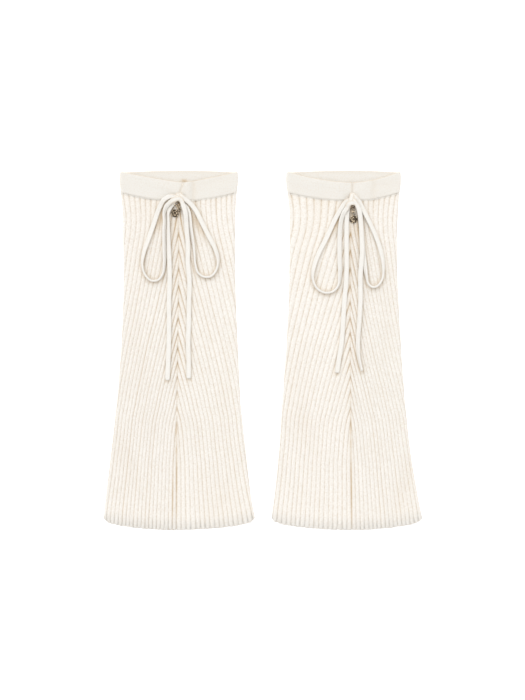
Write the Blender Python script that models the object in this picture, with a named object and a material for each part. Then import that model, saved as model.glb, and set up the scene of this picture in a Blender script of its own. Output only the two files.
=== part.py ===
"""A pair of flared rib-knit leg warmers, laid flat side by side.

Each leg warmer is a tube of rib knit with a seam down its front, a folded plain band round its top, a flat
drawstring tied in a bow over the seam, and a small brass charm hung from the knot. The pair lies on its
backs: +X is to the right, +Y towards the bands and +Z up from the surface. The origin is in the middle of
the underside. The tables are in millimetres. Their x is measured from each leg warmer's own centre line,
and their down from the top of its band.
"""

import math
from collections import namedtuple

import bmesh
import bpy
from mathutils import Matrix, Vector

MM = 0.001

# Angles in degrees past which an edge is shaded sharp
CORNER_SHARP = 62.0
GROOVE_SHARP = 25.0

# The pair as it lies
PAIR_WIDTH = 375.0
PAIR_LENGTH = 422.7
TOP = PAIR_LENGTH / 2
GAP = 0.3

# Cloth
LEG_HIGH_TOP = 6.0
LEG_HIGH_HEM = 5.2
RIB_DEPTH = 1.1
LEG_WALL = 1.3
BACK_WALL = 1.6
SIDE_ROUND = 3.0
BAND_WALL = 3.0
BAND_HIGH = 6.5

# The leg's knit courses: how far their middle hangs below their sides
COURSE_DROP = 8.6
HEM_CORNER = 4.7
HEM_CORNER_LENGTH = 14.0
LEG_START = 27.4
HEM_SIDE = PAIR_LENGTH - COURSE_DROP - HEM_CORNER

# Ribs, counted on one side of the front seam: how many have started at these distances down the seam, and the
# distances from the top, at the sides, at which each leg warmer's table counts the ribs that show
STARTED_DOWN = [38.0, 60.0, 99.0, 159.0, 219.0, 279.0, 312.0, 345.0]
STARTED = [0.0, 0.5, 2.2, 5.2, 8.6, 12.05, 13.5, 14.0]
NEW_RIBS = 14
COUNT_DOWN = [27.4, 60.0, 110.0, 160.0, 210.0, 260.0, 309.0, 409.4]
SEAM_SPREAD = 0.05
SIDE_MARGIN = 1.1
HEM_ROWS = 5

# Columns across the plain underside and the plain inside of a leg, from a side to the middle
PLAIN_COLUMNS = 4

# Band
BAND_BACK_TOP = 0.0
BAND_SIDE_TOP = 2.1
BAND_DIP = 12.0
BAND_SIDE_FOOT = LEG_START - GAP
BAND_SLIT = 0.5
BAND_SLIT_FOOT = 3.2
SLIT_FLARE_START = 24.0

# Drawstring
CORD_WIDE = 5.6
CORD_THICK = 2.4
LOOP_STEP = 8.5
TAIL_STEP = 13.0
TAIL_CROWDING = 1.25
KNOT_HALF = (4.0, 4.8, 2.9)
KNOT_HIGH = 10.3
KNOT_FULL = 0.85
KNOT_SIDES = 16
KNOT_RINGS = 10

# Charm: a ring through the knot, a link on the ring and a disc whose eye is on the link. A hang is how far a
# ring's end lies past the wire that it hangs on, middle to middle.
RING_RADIUS = 2.3
RING_WIRE = 0.45
RING_HIGH = 9.2
LINK_HALF_LONG = 3.4
LINK_HALF_WIDE = 2.3
LINK_WIRE = 0.5
LINK_HANG = 1.35
LINK_TILT = -58.0
EYE_HALF_LONG = 2.2
EYE_HALF_WIDE = 1.7
EYE_WIRE = 0.45
EYE_HANG = 1.3
DISC_RADIUS = 4.6
DISC_THICK = 0.8
DISC_RIM = 0.65
DISC_SINK = 0.1
DISC_HIGH = 7.6
DISC_SIDES = 20
RING_CLEAR = 0.35
RING_SIDES = 16
WIRE_SIDES = 6

# The outline of a leg warmer as it lies: where its left side, its front seam and its right side are
Outline = namedtuple("Outline", "down left seam right")
# A soft rise or dip across the band's front
Puff = namedtuple("Puff", "x wide rise")
# A point of a cord's route: lift is its height above lying on the ribs, and lean the angle from flat by which
# its edge on the left, seen along the route, is turned up
Route = namedtuple("Route", "x down lift lean")
# A charm: where its ring hangs, which way the link points and which way the disc does, in degrees from
# straight down towards +X
Charm = namedtuple("Charm", "x down link_turn disc_turn")

LEFT_OUTLINE = [
    Outline(2.0, -69.3, 6.6, 69.4),
    Outline(14.0, -69.5, 5.2, 69.3),
    Outline(27.0, -68.4, 0.8, 67.9),
    Outline(46.7, -66.8, -0.2, 66.9),
    Outline(93.6, -65.5, -0.2, 66.1),
    Outline(152.3, -65.6, -0.6, 67.1),
    Outline(210.9, -68.4, -1.6, 69.6),
    Outline(269.6, -73.0, -2.3, 72.4),
    Outline(328.3, -79.4, -2.6, 78.3),
    Outline(386.9, -86.5, -2.9, 85.5),
    Outline(409.4, -89.0, -3.2, 89.4),
]
RIGHT_OUTLINE = [
    Outline(2.0, -75.6, 2.1, 59.0),
    Outline(14.0, -75.7, 2.1, 59.2),
    Outline(27.0, -74.0, 1.6, 57.6),
    Outline(46.7, -72.2, 0.6, 56.0),
    Outline(93.6, -71.9, -0.4, 54.6),
    Outline(152.3, -73.0, -0.6, 56.5),
    Outline(210.9, -75.9, -0.4, 59.8),
    Outline(269.6, -80.2, 0.0, 64.0),
    Outline(328.3, -84.0, 0.2, 70.3),
    Outline(386.9, -90.2, 1.2, 80.0),
    Outline(409.4, -93.2, 1.5, 84.5),
]

LEFT_PUFFS = [Puff(9.0, 5.0, 0.9), Puff(16.5, 2.6, -0.9), Puff(-10.0, 9.0, 0.4)]
RIGHT_PUFFS = [Puff(-12.0, 9.0, 0.6), Puff(12.0, 8.0, 0.6), Puff(27.0, 4.0, -0.4)]

LEFT_CORDS = {
    "loop_left": [
        Route(-7.2, 31.2, 4.2, 0),
        Route(-11.5, 31.8, 4.0, 0),
        Route(-17.4, 35.4, 2.4, 0),
        Route(-22.0, 43.0, 0.8, 0),
        Route(-25.6, 52.0, 0.1, 0),
        Route(-29.6, 64.0, 0.0, 5),
        Route(-35.2, 80.2, 0.0, 15),
        Route(-40.9, 96.7, 0.0, 35),
        Route(-42.9, 110.0, 0.0, 70),
        Route(-39.6, 122.3, 0.0, 90),
        Route(-32.0, 129.6, 0.0, 90),
        Route(-23.8, 128.6, 0.0, 90),
        Route(-18.4, 121.0, 0.0, 80),
        Route(-16.8, 108.0, 0.0, 65),
        Route(-17.0, 93.4, 0.0, 60),
        Route(-17.2, 70.4, 0.0, 60),
        Route(-16.6, 60.2, 0.0, 60),
        Route(-16.9, 50.0, 0.5, 60),
        Route(-14.0, 42.6, 2.9, 35),
        Route(-9.4, 37.8, 4.0, 15),
    ],
    "loop_right": [
        Route(4.2, 31.6, 2.6, 0),
        Route(7.6, 34.4, 2.0, 0),
        Route(12.9, 38.8, 1.0, 0),
        Route(19.1, 46.2, 0.3, 0),
        Route(26.5, 60.4, 0.0, -5),
        Route(34.8, 77.0, 0.0, -15),
        Route(43.1, 93.4, 0.0, -35),
        Route(46.3, 106.5, 0.0, -70),
        Route(43.6, 118.0, 0.0, -90),
        Route(37.4, 124.6, 0.0, -90),
        Route(29.8, 125.2, 0.0, -90),
        Route(23.0, 120.8, 0.0, -90),
        Route(19.6, 111.0, 0.0, -90),
        Route(18.2, 96.7, 0.0, -80),
        Route(16.2, 80.0, 0.0, -70),
        Route(14.4, 67.6, 0.0, -65),
        Route(13.2, 56.0, 0.0, -60),
        Route(10.8, 47.6, 0.0, -35),
        Route(6.9, 42.0, 0.0, -10),
        Route(3.2, 38.8, 0.2, 0),
    ],
    "tail_left": [
        Route(-7.2, 40.4, 0.0, 0),
        Route(-9.8, 43.4, 0.0, 10),
        Route(-12.3, 50.0, 0.0, 60),
        Route(-12.3, 60.2, 0.0, 65),
        Route(-12.2, 70.0, 0.0, 55),
        Route(-11.8, 86.8, 0.0, 35),
        Route(-11.0, 106.5, 0.0, 15),
        Route(-10.7, 130.0, 0.0, 0),
        Route(-11.4, 153.5, 0.0, 0),
        Route(-11.4, 186.3, 0.0, 0),
        Route(-11.9, 210.9, 0.0, 0),
        Route(-13.3, 246.2, 0.0, 0),
    ],
    "tail_right": [
        Route(3.8, 37.4, 3.8, 0),
        Route(6.6, 45.2, 3.9, 0),
        Route(8.2, 52.6, 3.2, 0),
        Route(8.8, 60.2, 1.4, 0),
        Route(9.3, 70.0, 0.2, 0),
        Route(10.8, 88.9, 0.0, 0),
        Route(10.6, 107.7, 0.0, 0),
        Route(12.6, 130.0, 0.0, 0),
        Route(12.0, 153.5, 0.0, 0),
        Route(11.7, 181.6, 0.0, 0),
        Route(11.0, 201.6, 0.0, 5),
        Route(11.7, 226.8, 0.0, 5),
        Route(11.6, 244.2, 0.0, 0),
    ],
}
RIGHT_CORDS = {
    "loop_left": [
        Route(-6.1, 37.6, 2.4, 0),
        Route(-9.0, 41.8, 1.8, 0),
        Route(-13.2, 48.6, 0.7, 0),
        Route(-19.6, 60.4, 0.2, 0),
        Route(-27.9, 78.6, 0.0, 5),
        Route(-37.0, 96.7, 0.0, 10),
        Route(-43.0, 113.1, 0.0, 35),
        Route(-44.6, 127.0, 0.0, 75),
        Route(-39.8, 138.3, 0.0, 90),
        Route(-31.0, 143.6, 0.0, 90),
        Route(-21.6, 142.6, 0.0, 90),
        Route(-14.9, 136.2, 0.0, 75),
        Route(-12.7, 123.1, 0.0, 45),
        Route(-13.1, 103.2, 0.0, 20),
        Route(-13.1, 83.5, 0.0, 20),
        Route(-12.2, 65.3, 0.0, 30),
        Route(-10.4, 56.0, 0.8, 30),
        Route(-7.8, 49.6, 2.8, 20),
        Route(-4.4, 44.6, 3.2, 5),
    ],
    "loop_right": [
        Route(6.8, 33.4, 2.0, 0),
        Route(9.7, 37.4, 1.3, 0),
        Route(13.6, 44.8, 0.4, -5),
        Route(21.5, 60.4, 0.0, -25),
        Route(29.7, 78.6, 0.0, -25),
        Route(35.2, 95.0, 0.0, -30),
        Route(38.2, 112.0, 0.0, -60),
        Route(37.2, 126.4, 0.0, -85),
        Route(31.6, 135.6, 0.0, -90),
        Route(25.4, 137.2, 0.0, -90),
        Route(20.4, 133.0, 0.0, -90),
        Route(18.4, 125.0, 0.0, -75),
        Route(16.8, 114.0, 0.0, -35),
        Route(15.2, 102.0, 0.0, -5),
        Route(14.0, 90.0, 0.0, 0),
        Route(13.0, 77.0, 0.0, 0),
        Route(11.6, 60.4, 0.0, 0),
        Route(10.4, 50.0, 0.0, 0),
        Route(8.8, 44.6, 0.0, 0),
    ],
    "tail_left": [
        Route(-3.0, 43.6, 0.0, 0),
        Route(-4.0, 50.0, 0.0, 0),
        Route(-4.7, 62.1, 0.0, 0),
        Route(-4.9, 86.8, 0.0, 0),
        Route(-4.8, 111.5, 0.0, 0),
        Route(-5.2, 128.0, 0.0, 0),
        Route(-7.3, 152.6, 0.0, 0),
        Route(-8.9, 177.4, 0.0, 0),
        Route(-10.6, 202.0, 0.0, 0),
        Route(-13.8, 221.7, 0.0, 0),
        Route(-16.1, 237.6, 0.0, 0),
    ],
    "tail_right": [
        Route(7.2, 41.4, 3.9, 0),
        Route(9.8, 48.0, 3.7, 0),
        Route(11.5, 60.4, 2.9, 0),
        Route(12.6, 78.0, 2.9, 0),
        Route(13.2, 96.0, 2.9, 0),
        Route(12.3, 108.0, 2.9, 0),
        Route(11.4, 120.0, 1.4, 0),
        Route(11.3, 134.0, 0.2, 0),
        Route(11.4, 152.6, 0.0, 20),
        Route(10.0, 177.4, 0.0, 30),
        Route(8.3, 202.0, 0.0, 40),
        Route(9.2, 218.4, 0.0, 60),
        Route(13.0, 235.4, 0.0, 75),
    ],
}

# One row for each leg warmer. dense_left and dense_right are the ribs that show between the seam and each
# side at the distances of COUNT_DOWN, and dip_power shapes the front of the band's top edge.
Warmer = namedtuple(
    "Warmer",
    "name middle outline dense_left dense_right dip_power puffs knot knot_turn cords charm",
)
WARMERS = [
    Warmer(
        name="left",
        middle=-PAIR_WIDTH / 2 - LEFT_OUTLINE[-1].left,
        outline=LEFT_OUTLINE,
        dense_left=(10.6, 11.8, 13.0, 14.2, 15.6, 17.4, 19.1, 19.1),
        dense_right=(11.1, 11.6, 12.2, 13.1, 14.2, 15.7, 17.4, 16.7),
        dip_power=1.15,
        puffs=LEFT_PUFFS,
        knot=(-2.0, 34.2),
        knot_turn=6.0,
        cords=LEFT_CORDS,
        charm=Charm(-2.9, 40.0, 34.0, -54.0),
    ),
    Warmer(
        name="right",
        middle=PAIR_WIDTH / 2 - RIGHT_OUTLINE[-1].right,
        outline=RIGHT_OUTLINE,
        dense_left=(8.6, 9.6, 10.6, 11.9, 13.5, 15.5, 17.1, 17.4),
        dense_right=(8.9, 10.1, 11.6, 13.3, 14.8, 15.8, 16.8, 17.2),
        dip_power=1.7,
        puffs=RIGHT_PUFFS,
        knot=(0.4, 37.4),
        knot_turn=-8.0,
        cords=RIGHT_CORDS,
        charm=Charm(2.2, 42.8, 5.0, 3.0),
    ),
]


def smooth_step(value):
    value = min(max(value, 0.0), 1.0)
    return value * value * (3 - 2 * value)


def curve_value(places, values, at):
    """The height at a place of the smooth curve through the given places and values."""
    last = len(places) - 1
    if at <= places[0]:
        return values[0]
    if at >= places[last]:
        return values[last]
    spans = [places[i + 1] - places[i] for i in range(last)]
    steps = [(values[i + 1] - values[i]) / spans[i] for i in range(last)]
    slopes = [steps[0]] + [(steps[i - 1] + steps[i]) / 2 for i in range(1, last)] + [steps[-1]]
    k = max(i for i in range(last) if places[i] <= at)
    t = (at - places[k]) / spans[k]
    rise = t * t * (3 - 2 * t)
    start_pull = t * (1 - t) ** 2 * spans[k] * slopes[k]
    end_pull = t * t * (t - 1) * spans[k] * slopes[k + 1]
    return values[k] * (1 - rise) + values[k + 1] * rise + start_pull + end_pull


def outline_at(outline, down):
    """The left side, the seam and the right side of a leg warmer at this distance from its top."""
    places = [row.down for row in outline]
    return [
        curve_value(places, [getattr(row, column) for row in outline], down)
        for column in ("left", "seam", "right")
    ]


def make_material(name, colour, roughness, metallic=0.0):
    material = bpy.data.materials.new(name)
    material.use_nodes = True
    shader = material.node_tree.nodes["Principled BSDF"]
    shader.inputs["Base Color"].default_value = (*colour, 1.0)
    shader.inputs["Roughness"].default_value = roughness
    shader.inputs["Metallic"].default_value = metallic
    material.diffuse_color = (*colour, 1.0)
    return material


def add_object(name, mesh_data, material):
    """A node from a bmesh in world millimetres: turned to metres, faces outward, shaded smooth.

    Edges stay sharp at a corner, and already at a slight angle in a groove, so that ribs look round.
    """
    bmesh.ops.recalc_face_normals(mesh_data, faces=mesh_data.faces)
    if mesh_data.calc_volume(signed=True) < 0:
        bmesh.ops.reverse_faces(mesh_data, faces=mesh_data.faces)
    for vertex in mesh_data.verts:
        vertex.co *= MM
    for face in mesh_data.faces:
        face.smooth = True
    for edge in mesh_data.edges:
        bend = math.degrees(edge.calc_face_angle_signed())
        edge.smooth = -GROOVE_SHARP < bend < CORNER_SHARP
    mesh = bpy.data.meshes.new(name)
    mesh_data.to_mesh(mesh)
    mesh_data.free()
    mesh.materials.append(material)
    node = bpy.data.objects.new(name, mesh)
    bpy.context.collection.objects.link(node)
    return node


def world(warmer, x, down, high):
    return (warmer.middle + x, TOP - down, high)


def zip_strip(mesh_data, first, second):
    """Triangles between two rows of (key, vertex) in key order. Points with the same key are joined."""
    i = 0
    j = 0
    while i < len(first) - 1 or j < len(second) - 1:
        first_next = first[i + 1][0] if i < len(first) - 1 else math.inf
        second_next = second[j + 1][0] if j < len(second) - 1 else math.inf
        a = first[i][1]
        b = second[j][1]
        if abs(first_next - second_next) < 1e-6:
            c = second[j + 1][1]
            d = first[i + 1][1]
            corners = [(a, b, c), (a, c, d)]
            i += 1
            j += 1
        elif first_next < second_next:
            corners = [(a, b, first[i + 1][1])]
            i += 1
        else:
            corners = [(a, b, second[j + 1][1])]
            j += 1
        for corner in corners:
            if len(set(corner)) == 3:
                mesh_data.faces.new(corner)


def leg_high(down):
    return LEG_HIGH_TOP + (LEG_HIGH_HEM - LEG_HIGH_TOP) * smooth_step(down / PAIR_LENGTH)


def leg_rows():
    """The leg's rows of points as (side_down, started): one where each new rib starts.

    side_down is the distance from the top at the sides, and started how many ribs have started from the
    seam, on each side, above the row.
    """
    rows = [(LEG_START, 0)]
    rows += [(curve_value(STARTED, STARTED_DOWN, k) - COURSE_DROP, k) for k in range(NEW_RIBS + 1)]
    last = rows[-1][0]
    rest = HEM_SIDE - last
    rows += [(last + rest * (1 - (1 - k / HEM_ROWS) ** 1.4), NEW_RIBS) for k in range(1, HEM_ROWS + 1)]
    return rows


def course_down(side_down, across):
    """Where a knit course that starts at side_down lies, at this share of the way from the seam to a side."""
    corner = HEM_CORNER * smooth_step(1 - (HEM_SIDE - side_down) / HEM_CORNER_LENGTH)
    return side_down + COURSE_DROP * (1 - across**2) + corner * (1 - across**16)


def leg_row(mesh_data, warmer, side, side_down, started):
    """One row of the leg's outer surface on one side: (key, turn, vertex) from the seam round to the back.

    The key names the rib line that a point is on, and turn runs from 0 at the seam to 1 at the side and 2 at
    the middle of the back.
    """
    left, seam, right = outline_at(warmer.outline, side_down)
    edge = left if side < 0 else right
    half = abs(edge - seam)
    dense = warmer.dense_left if side < 0 else warmer.dense_right
    shown = curve_value(COUNT_DOWN, dense, side_down)
    high = leg_high(side_down)
    row = []

    def add(key, across, turn, height):
        x = seam + side * half * across
        down = course_down(side_down, across)
        vertex = mesh_data.verts.new(world(warmer, x, down, height))
        row.append((key, turn, vertex))

    add(-started, 0.0, 0.0, high - RIB_DEPTH)
    line = math.floor(-started * 2 + 1.0 + 1e-6)
    limit = 1 - SIDE_MARGIN / half
    while True:
        place = (line / 2 + started) / shown
        across = place + SEAM_SPREAD * place * (1 - place)
        if across > limit:
            break
        if across * half > 0.5:
            from_side = half * (1 - across)
            inward = min(from_side / SIDE_ROUND, 1.0)
            middle = high / 2
            crown = middle + (high - middle) * math.sqrt(1 - (1 - inward) ** 2)
            groove = RIB_DEPTH * inward if line % 2 == 0 else 0.0
            add(line / 2, across, across, crown - groove)
        line += 1
    for key, inset, share in ((1000, 0.35, 0.72), (1001, 0.0, 0.45), (1002, 0.7, 0.14)):
        add(key, 1 - inset / half, 1.0 + (key - 1001) * 0.02, high * share)
    for k in range(PLAIN_COLUMNS + 1):
        across = (1 - SIDE_ROUND * 0.75 / half) * (1 - k / PLAIN_COLUMNS)
        add(1003 + k, across, 2.0 - across, 0.0)
    return row


def inner_row(mesh_data, warmer, side, side_down):
    """One row of the leg's plain inside on one side, from under the seam round to the middle of the back."""
    left, seam, right = outline_at(warmer.outline, side_down)
    edge = left if side < 0 else right
    half = abs(edge - seam)
    roof = leg_high(side_down) - RIB_DEPTH - LEG_WALL
    floor = BACK_WALL
    roof_end = 1 - (SIDE_ROUND + 1.0) / half
    floor_end = 1 - (SIDE_ROUND + 0.1) / half
    side_end = 1 - (SIDE_ROUND - 0.4) / half
    spread = [roof_end * k / PLAIN_COLUMNS for k in range(PLAIN_COLUMNS)]
    points = [(across, across, roof) for across in spread]
    points.append((floor_end, floor_end, roof - 0.12 * (roof - floor)))
    points.append((side_end, side_end, (roof + floor) / 2))
    for k in range(PLAIN_COLUMNS + 1):
        across = floor_end * (1 - k / PLAIN_COLUMNS)
        points.append((2.0 - across, across, floor))
    row = []
    for number, (turn, across, height) in enumerate(points):
        place = world(warmer, seam + side * half * across, course_down(side_down, across), height)
        row.append((number, turn, mesh_data.verts.new(place)))
    return row


def share_middle(mesh_data, left_row, right_row):
    """Makes the two sides of a row use the same points at the seam and at the middle of the back."""
    for index in (0, -1):
        kept = left_row[index][2]
        key, turn, spare = right_row[index]
        mesh_data.verts.remove(spare)
        right_row[index] = (key, turn, kept)


def by_key(row):
    return [(key, vertex) for key, turn, vertex in row]


def by_turn(row):
    return [(turn, vertex) for key, turn, vertex in row]


def make_leg(warmer, material):
    mesh_data = bmesh.new()
    places = leg_rows()
    outer = []
    inner = []
    for number, (side_down, started) in enumerate(places):
        rows = [leg_row(mesh_data, warmer, side, side_down, started) for side in (-1, 1)]
        share_middle(mesh_data, *rows)
        outer.append(rows)
        if number % 2 == 0 or number == len(places) - 1:
            plain = [inner_row(mesh_data, warmer, side, side_down) for side in (-1, 1)]
            share_middle(mesh_data, *plain)
            inner.append(plain)
    for surface in (outer, inner):
        for upper, lower in zip(surface, surface[1:]):
            for side in (0, 1):
                zip_strip(mesh_data, by_key(upper[side]), by_key(lower[side]))
    for end in (0, -1):
        for side in (0, 1):
            zip_strip(mesh_data, by_turn(outer[end][side]), by_turn(inner[end][side]))
    return add_object(f"{warmer.name}_leg", mesh_data, material)


def band_rise(warmer, x):
    return sum(puff.rise * math.exp(-(((x - puff.x) / puff.wide) ** 2)) for puff in warmer.puffs)


def band_front_top(warmer, across):
    return BAND_SIDE_TOP + BAND_DIP * (1 - abs(across) ** warmer.dip_power)


def band_section(mesh_data, warmer, side, across, swing):
    """One closed section of the band's wall.

    swing is 0 on the front, 180 on the back and turns between them round the side, and across is the share of
    the way from the seam to the side.
    """
    turn = math.radians(swing)
    outward = math.sin(turn)
    upward = math.cos(turn)
    core = (BAND_HIGH - BAND_WALL) / 2
    front = (1 + upward) / 2
    back_top = BAND_BACK_TOP + BAND_SIDE_TOP * across**2
    top = band_front_top(warmer, across) * front + back_top * (1 - front)
    foot = course_down(BAND_SIDE_FOOT, across)
    middle = (top + foot) / 2
    half_wall = BAND_WALL / 2
    profile = [
        (top, 0.0),
        (top + 0.5, 0.62),
        (top + 1.7, 1.0),
        (middle, 1.0),
        (foot - 1.2, 1.0),
        (foot, 0.62),
        (foot, -0.62),
        (foot - 1.2, -1.0),
        (middle, -1.0),
        (top + 1.7, -1.0),
        (top + 0.5, -0.62),
    ]
    section = []
    for down, share in profile:
        left, seam, right = outline_at(warmer.outline, down)
        half = abs((left if side < 0 else right) - seam) - BAND_HIGH / 2
        flare = smooth_step((down - SLIT_FLARE_START) / (BAND_SIDE_FOOT + COURSE_DROP - SLIT_FLARE_START))
        slit = (BAND_SLIT + (BAND_SLIT_FOOT - BAND_SLIT) * flare) / 2 * front
        reach = max(half * across, slit) + (core + share * half_wall) * outward
        x = seam + side * reach
        rise = band_rise(warmer, x) * front * smooth_step(upward)
        height = BAND_HIGH / 2 + (core + share * half_wall) * upward + rise
        section.append(mesh_data.verts.new(world(warmer, x, down, height)))
    return section


def make_band(warmer, material):
    """The folded band: a strip from the seam round the left side, the back and the right side to the seam."""
    mesh_data = bmesh.new()
    front = [0.0, 0.05, 0.12, 0.2, 0.28, 0.38, 0.5, 0.64, 0.78, 0.9, 1.0]
    back = [1.0, 0.75, 0.5, 0.25]
    steps = [(across, 0.0) for across in front]
    steps += [(1.0, swing) for swing in (45.0, 90.0, 135.0)]
    steps += [(across, 180.0) for across in back]
    sections = [band_section(mesh_data, warmer, -1, across, swing) for across, swing in steps]
    sections.append(band_section(mesh_data, warmer, -1, 0.0, 180.0))
    sections += [band_section(mesh_data, warmer, 1, across, swing) for across, swing in reversed(steps)]
    for first, second in zip(sections, sections[1:]):
        for k in range(len(first)):
            after = (k + 1) % len(first)
            mesh_data.faces.new((first[k], first[after], second[after], second[k]))
    mesh_data.faces.new(sections[0])
    mesh_data.faces.new(list(reversed(sections[-1])))
    bmesh.ops.triangulate(mesh_data, faces=mesh_data.faces)
    return add_object(f"{warmer.name}_band", mesh_data, material)


def smooth_route(rows, step, crowding):
    """Points about a step apart on the smooth curve through the route's rows, closer near its start."""
    lengths = [0.0]
    for first, second in zip(rows, rows[1:]):
        lengths.append(lengths[-1] + math.dist(first[:2], second[:2]))
    columns = list(zip(*rows))
    count = max(round(lengths[-1] / step), 2)
    places = [lengths[-1] * (k / count) ** crowding for k in range(count + 1)]
    return [Route(*(curve_value(lengths, column, place) for column in columns)) for place in places]


def cord_high(point):
    """The height of a cord's middle, which lies on the ribs, flat, leaning or on edge, or its lift above."""
    half_flat = (CORD_WIDE - CORD_THICK) / 2
    half_high = abs(math.sin(math.radians(point.lean))) * half_flat + CORD_THICK / 2
    return leg_high(point.down) + GAP + half_high + point.lift


def make_cord(name, warmer, rows, step, crowding, material):
    """A flat cord: a curve with an extrusion across its width, rounded by a bevel of half its thickness."""
    points = smooth_route(rows, step, crowding)
    curve = bpy.data.curves.new(name, "CURVE")
    curve.dimensions = "3D"
    curve.twist_mode = "Z_UP"
    curve.fill_mode = "FULL"
    curve.use_fill_caps = True
    curve.bevel_depth = CORD_THICK / 2 * MM
    curve.bevel_resolution = 2
    curve.extrude = (CORD_WIDE - CORD_THICK) / 2 * MM
    spline = curve.splines.new("POLY")
    spline.points.add(len(points) - 1)
    spline.use_smooth = True
    for target, point in zip(spline.points, points):
        x, y, z = world(warmer, point.x, point.down, cord_high(point))
        target.co = (x * MM, y * MM, z * MM, 1.0)
        target.tilt = math.radians(90.0 + point.lean)
    curve.materials.append(material)
    node = bpy.data.objects.new(name, curve)
    bpy.context.collection.objects.link(node)
    return node


def add_ring(mesh_data, centre, along, across, half_long, half_wide, wire):
    """A closed ring of round wire: two half circles joined by straight sides where it is longer than wide."""
    straight = half_long - half_wide
    normal = along.cross(across)
    loops = []
    for k in range(RING_SIDES):
        angle = 2 * math.pi * (k + 0.5) / RING_SIDES
        shift = straight if math.cos(angle) > 0 else -straight
        outward = along * math.cos(angle) + across * math.sin(angle)
        point = centre + outward * half_wide + along * shift
        loop = []
        for j in range(WIRE_SIDES):
            turn = 2 * math.pi * j / WIRE_SIDES
            rim = outward * math.cos(turn) + normal * math.sin(turn)
            loop.append(mesh_data.verts.new(point + rim * wire))
        loops.append(loop)
    for first, second in zip(loops, loops[1:] + loops[:1]):
        for j in range(WIRE_SIDES):
            after = (j + 1) % WIRE_SIDES
            mesh_data.faces.new((first[j], first[after], second[after], second[j]))


def ring_centre(warmer):
    return Vector(world(warmer, warmer.charm.x, warmer.charm.down, RING_HIGH))


def heading(turn_degrees):
    """The direction on the surface that lies this far round from straight down towards +X."""
    turn = math.radians(turn_degrees)
    return Vector((math.sin(turn), -math.cos(turn), 0.0))


def make_knot(warmer, material):
    """The knot's solid, with the tunnel that the charm's ring runs through."""
    mesh_data = bmesh.new()
    bmesh.ops.create_uvsphere(mesh_data, u_segments=KNOT_SIDES, v_segments=KNOT_RINGS, radius=1.0)
    turn = math.radians(warmer.knot_turn)
    middle = Vector(world(warmer, *warmer.knot, KNOT_HIGH))
    for vertex in mesh_data.verts:
        full = [math.copysign(abs(value) ** KNOT_FULL, value) for value in vertex.co]
        spread = [value * half for value, half in zip(full, KNOT_HALF)]
        x = spread[0] * math.cos(turn) - spread[1] * math.sin(turn)
        y = spread[0] * math.sin(turn) + spread[1] * math.cos(turn)
        vertex.co = middle + Vector((x, y, spread[2]))
    knot = add_object(f"{warmer.name}_knot", mesh_data, material)
    cutter_data = bmesh.new()
    down = heading(warmer.charm.link_turn)
    across = Vector((-down.y, down.x, 0.0))
    add_ring(cutter_data, ring_centre(warmer), down, across, RING_RADIUS, RING_RADIUS, RING_WIRE + RING_CLEAR)
    cutter = add_object(f"{warmer.name}_ring_tunnel", cutter_data, material)
    cutter.hide_render = True
    cutter.display_type = "WIRE"
    tunnel = knot.modifiers.new("ring tunnel", "BOOLEAN")
    tunnel.operation = "DIFFERENCE"
    tunnel.object = cutter
    return knot


def make_charm(warmer, brass):
    """The ring through the knot, the link that hangs on it and the disc that hangs on the link."""
    centre = ring_centre(warmer)
    down = heading(warmer.charm.link_turn)
    across = Vector((-down.y, down.x, 0.0))
    ring_data = bmesh.new()
    add_ring(ring_data, centre, down, across, RING_RADIUS, RING_RADIUS, RING_WIRE)
    add_object(f"{warmer.name}_charm_ring", ring_data, brass.copy())

    link_centre = centre + down * (RING_RADIUS + LINK_HALF_LONG - LINK_HANG)
    tilt = math.radians(LINK_TILT)
    link_across = across * math.cos(tilt) + Vector((0.0, 0.0, math.sin(tilt)))
    link_data = bmesh.new()
    add_ring(link_data, link_centre, down, link_across, LINK_HALF_LONG, LINK_HALF_WIDE, LINK_WIRE)
    link = add_object(f"{warmer.name}_charm_link", link_data, brass.copy())

    link_end = link_centre + down * LINK_HALF_LONG
    eye_reach = 2 * EYE_HALF_LONG - EYE_HANG
    reach = eye_reach + DISC_RADIUS - DISC_SINK
    side = heading(warmer.charm.disc_turn)
    slope = math.asin((link_end.z - DISC_HIGH) / reach)
    outward = side * math.cos(slope) - Vector((0.0, 0.0, math.sin(slope)))
    sideways = Vector((-side.y, side.x, 0.0))
    disc_data = bmesh.new()
    add_disc(disc_data, link_end + outward * reach, outward, sideways)
    disc = add_object(f"{warmer.name}_charm_disc", disc_data, brass.copy())
    eye_data = bmesh.new()
    eye_centre = link_end + outward * (eye_reach - EYE_HALF_LONG)
    add_ring(eye_data, eye_centre, outward, sideways, EYE_HALF_LONG, EYE_HALF_WIDE, EYE_WIRE)
    eye = add_object(f"{warmer.name}_disc_eye", eye_data, brass.copy())
    eye.hide_render = True
    eye.display_type = "WIRE"
    joined = disc.modifiers.new("eye", "BOOLEAN")
    joined.operation = "UNION"
    joined.object = eye
    hang_on(f"{warmer.name}_charm_hinge", centre + down * RING_RADIUS, [link, disc, eye])


def hang_on(name, place, pieces):
    """Parents pieces, where they are, to an empty on their hinge's axis."""
    hinge = bpy.data.objects.new(name, None)
    hinge.location = place * MM
    bpy.context.collection.objects.link(hinge)
    for piece in pieces:
        piece.parent = hinge
        piece.matrix_parent_inverse = Matrix.Translation(-place * MM)


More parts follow.
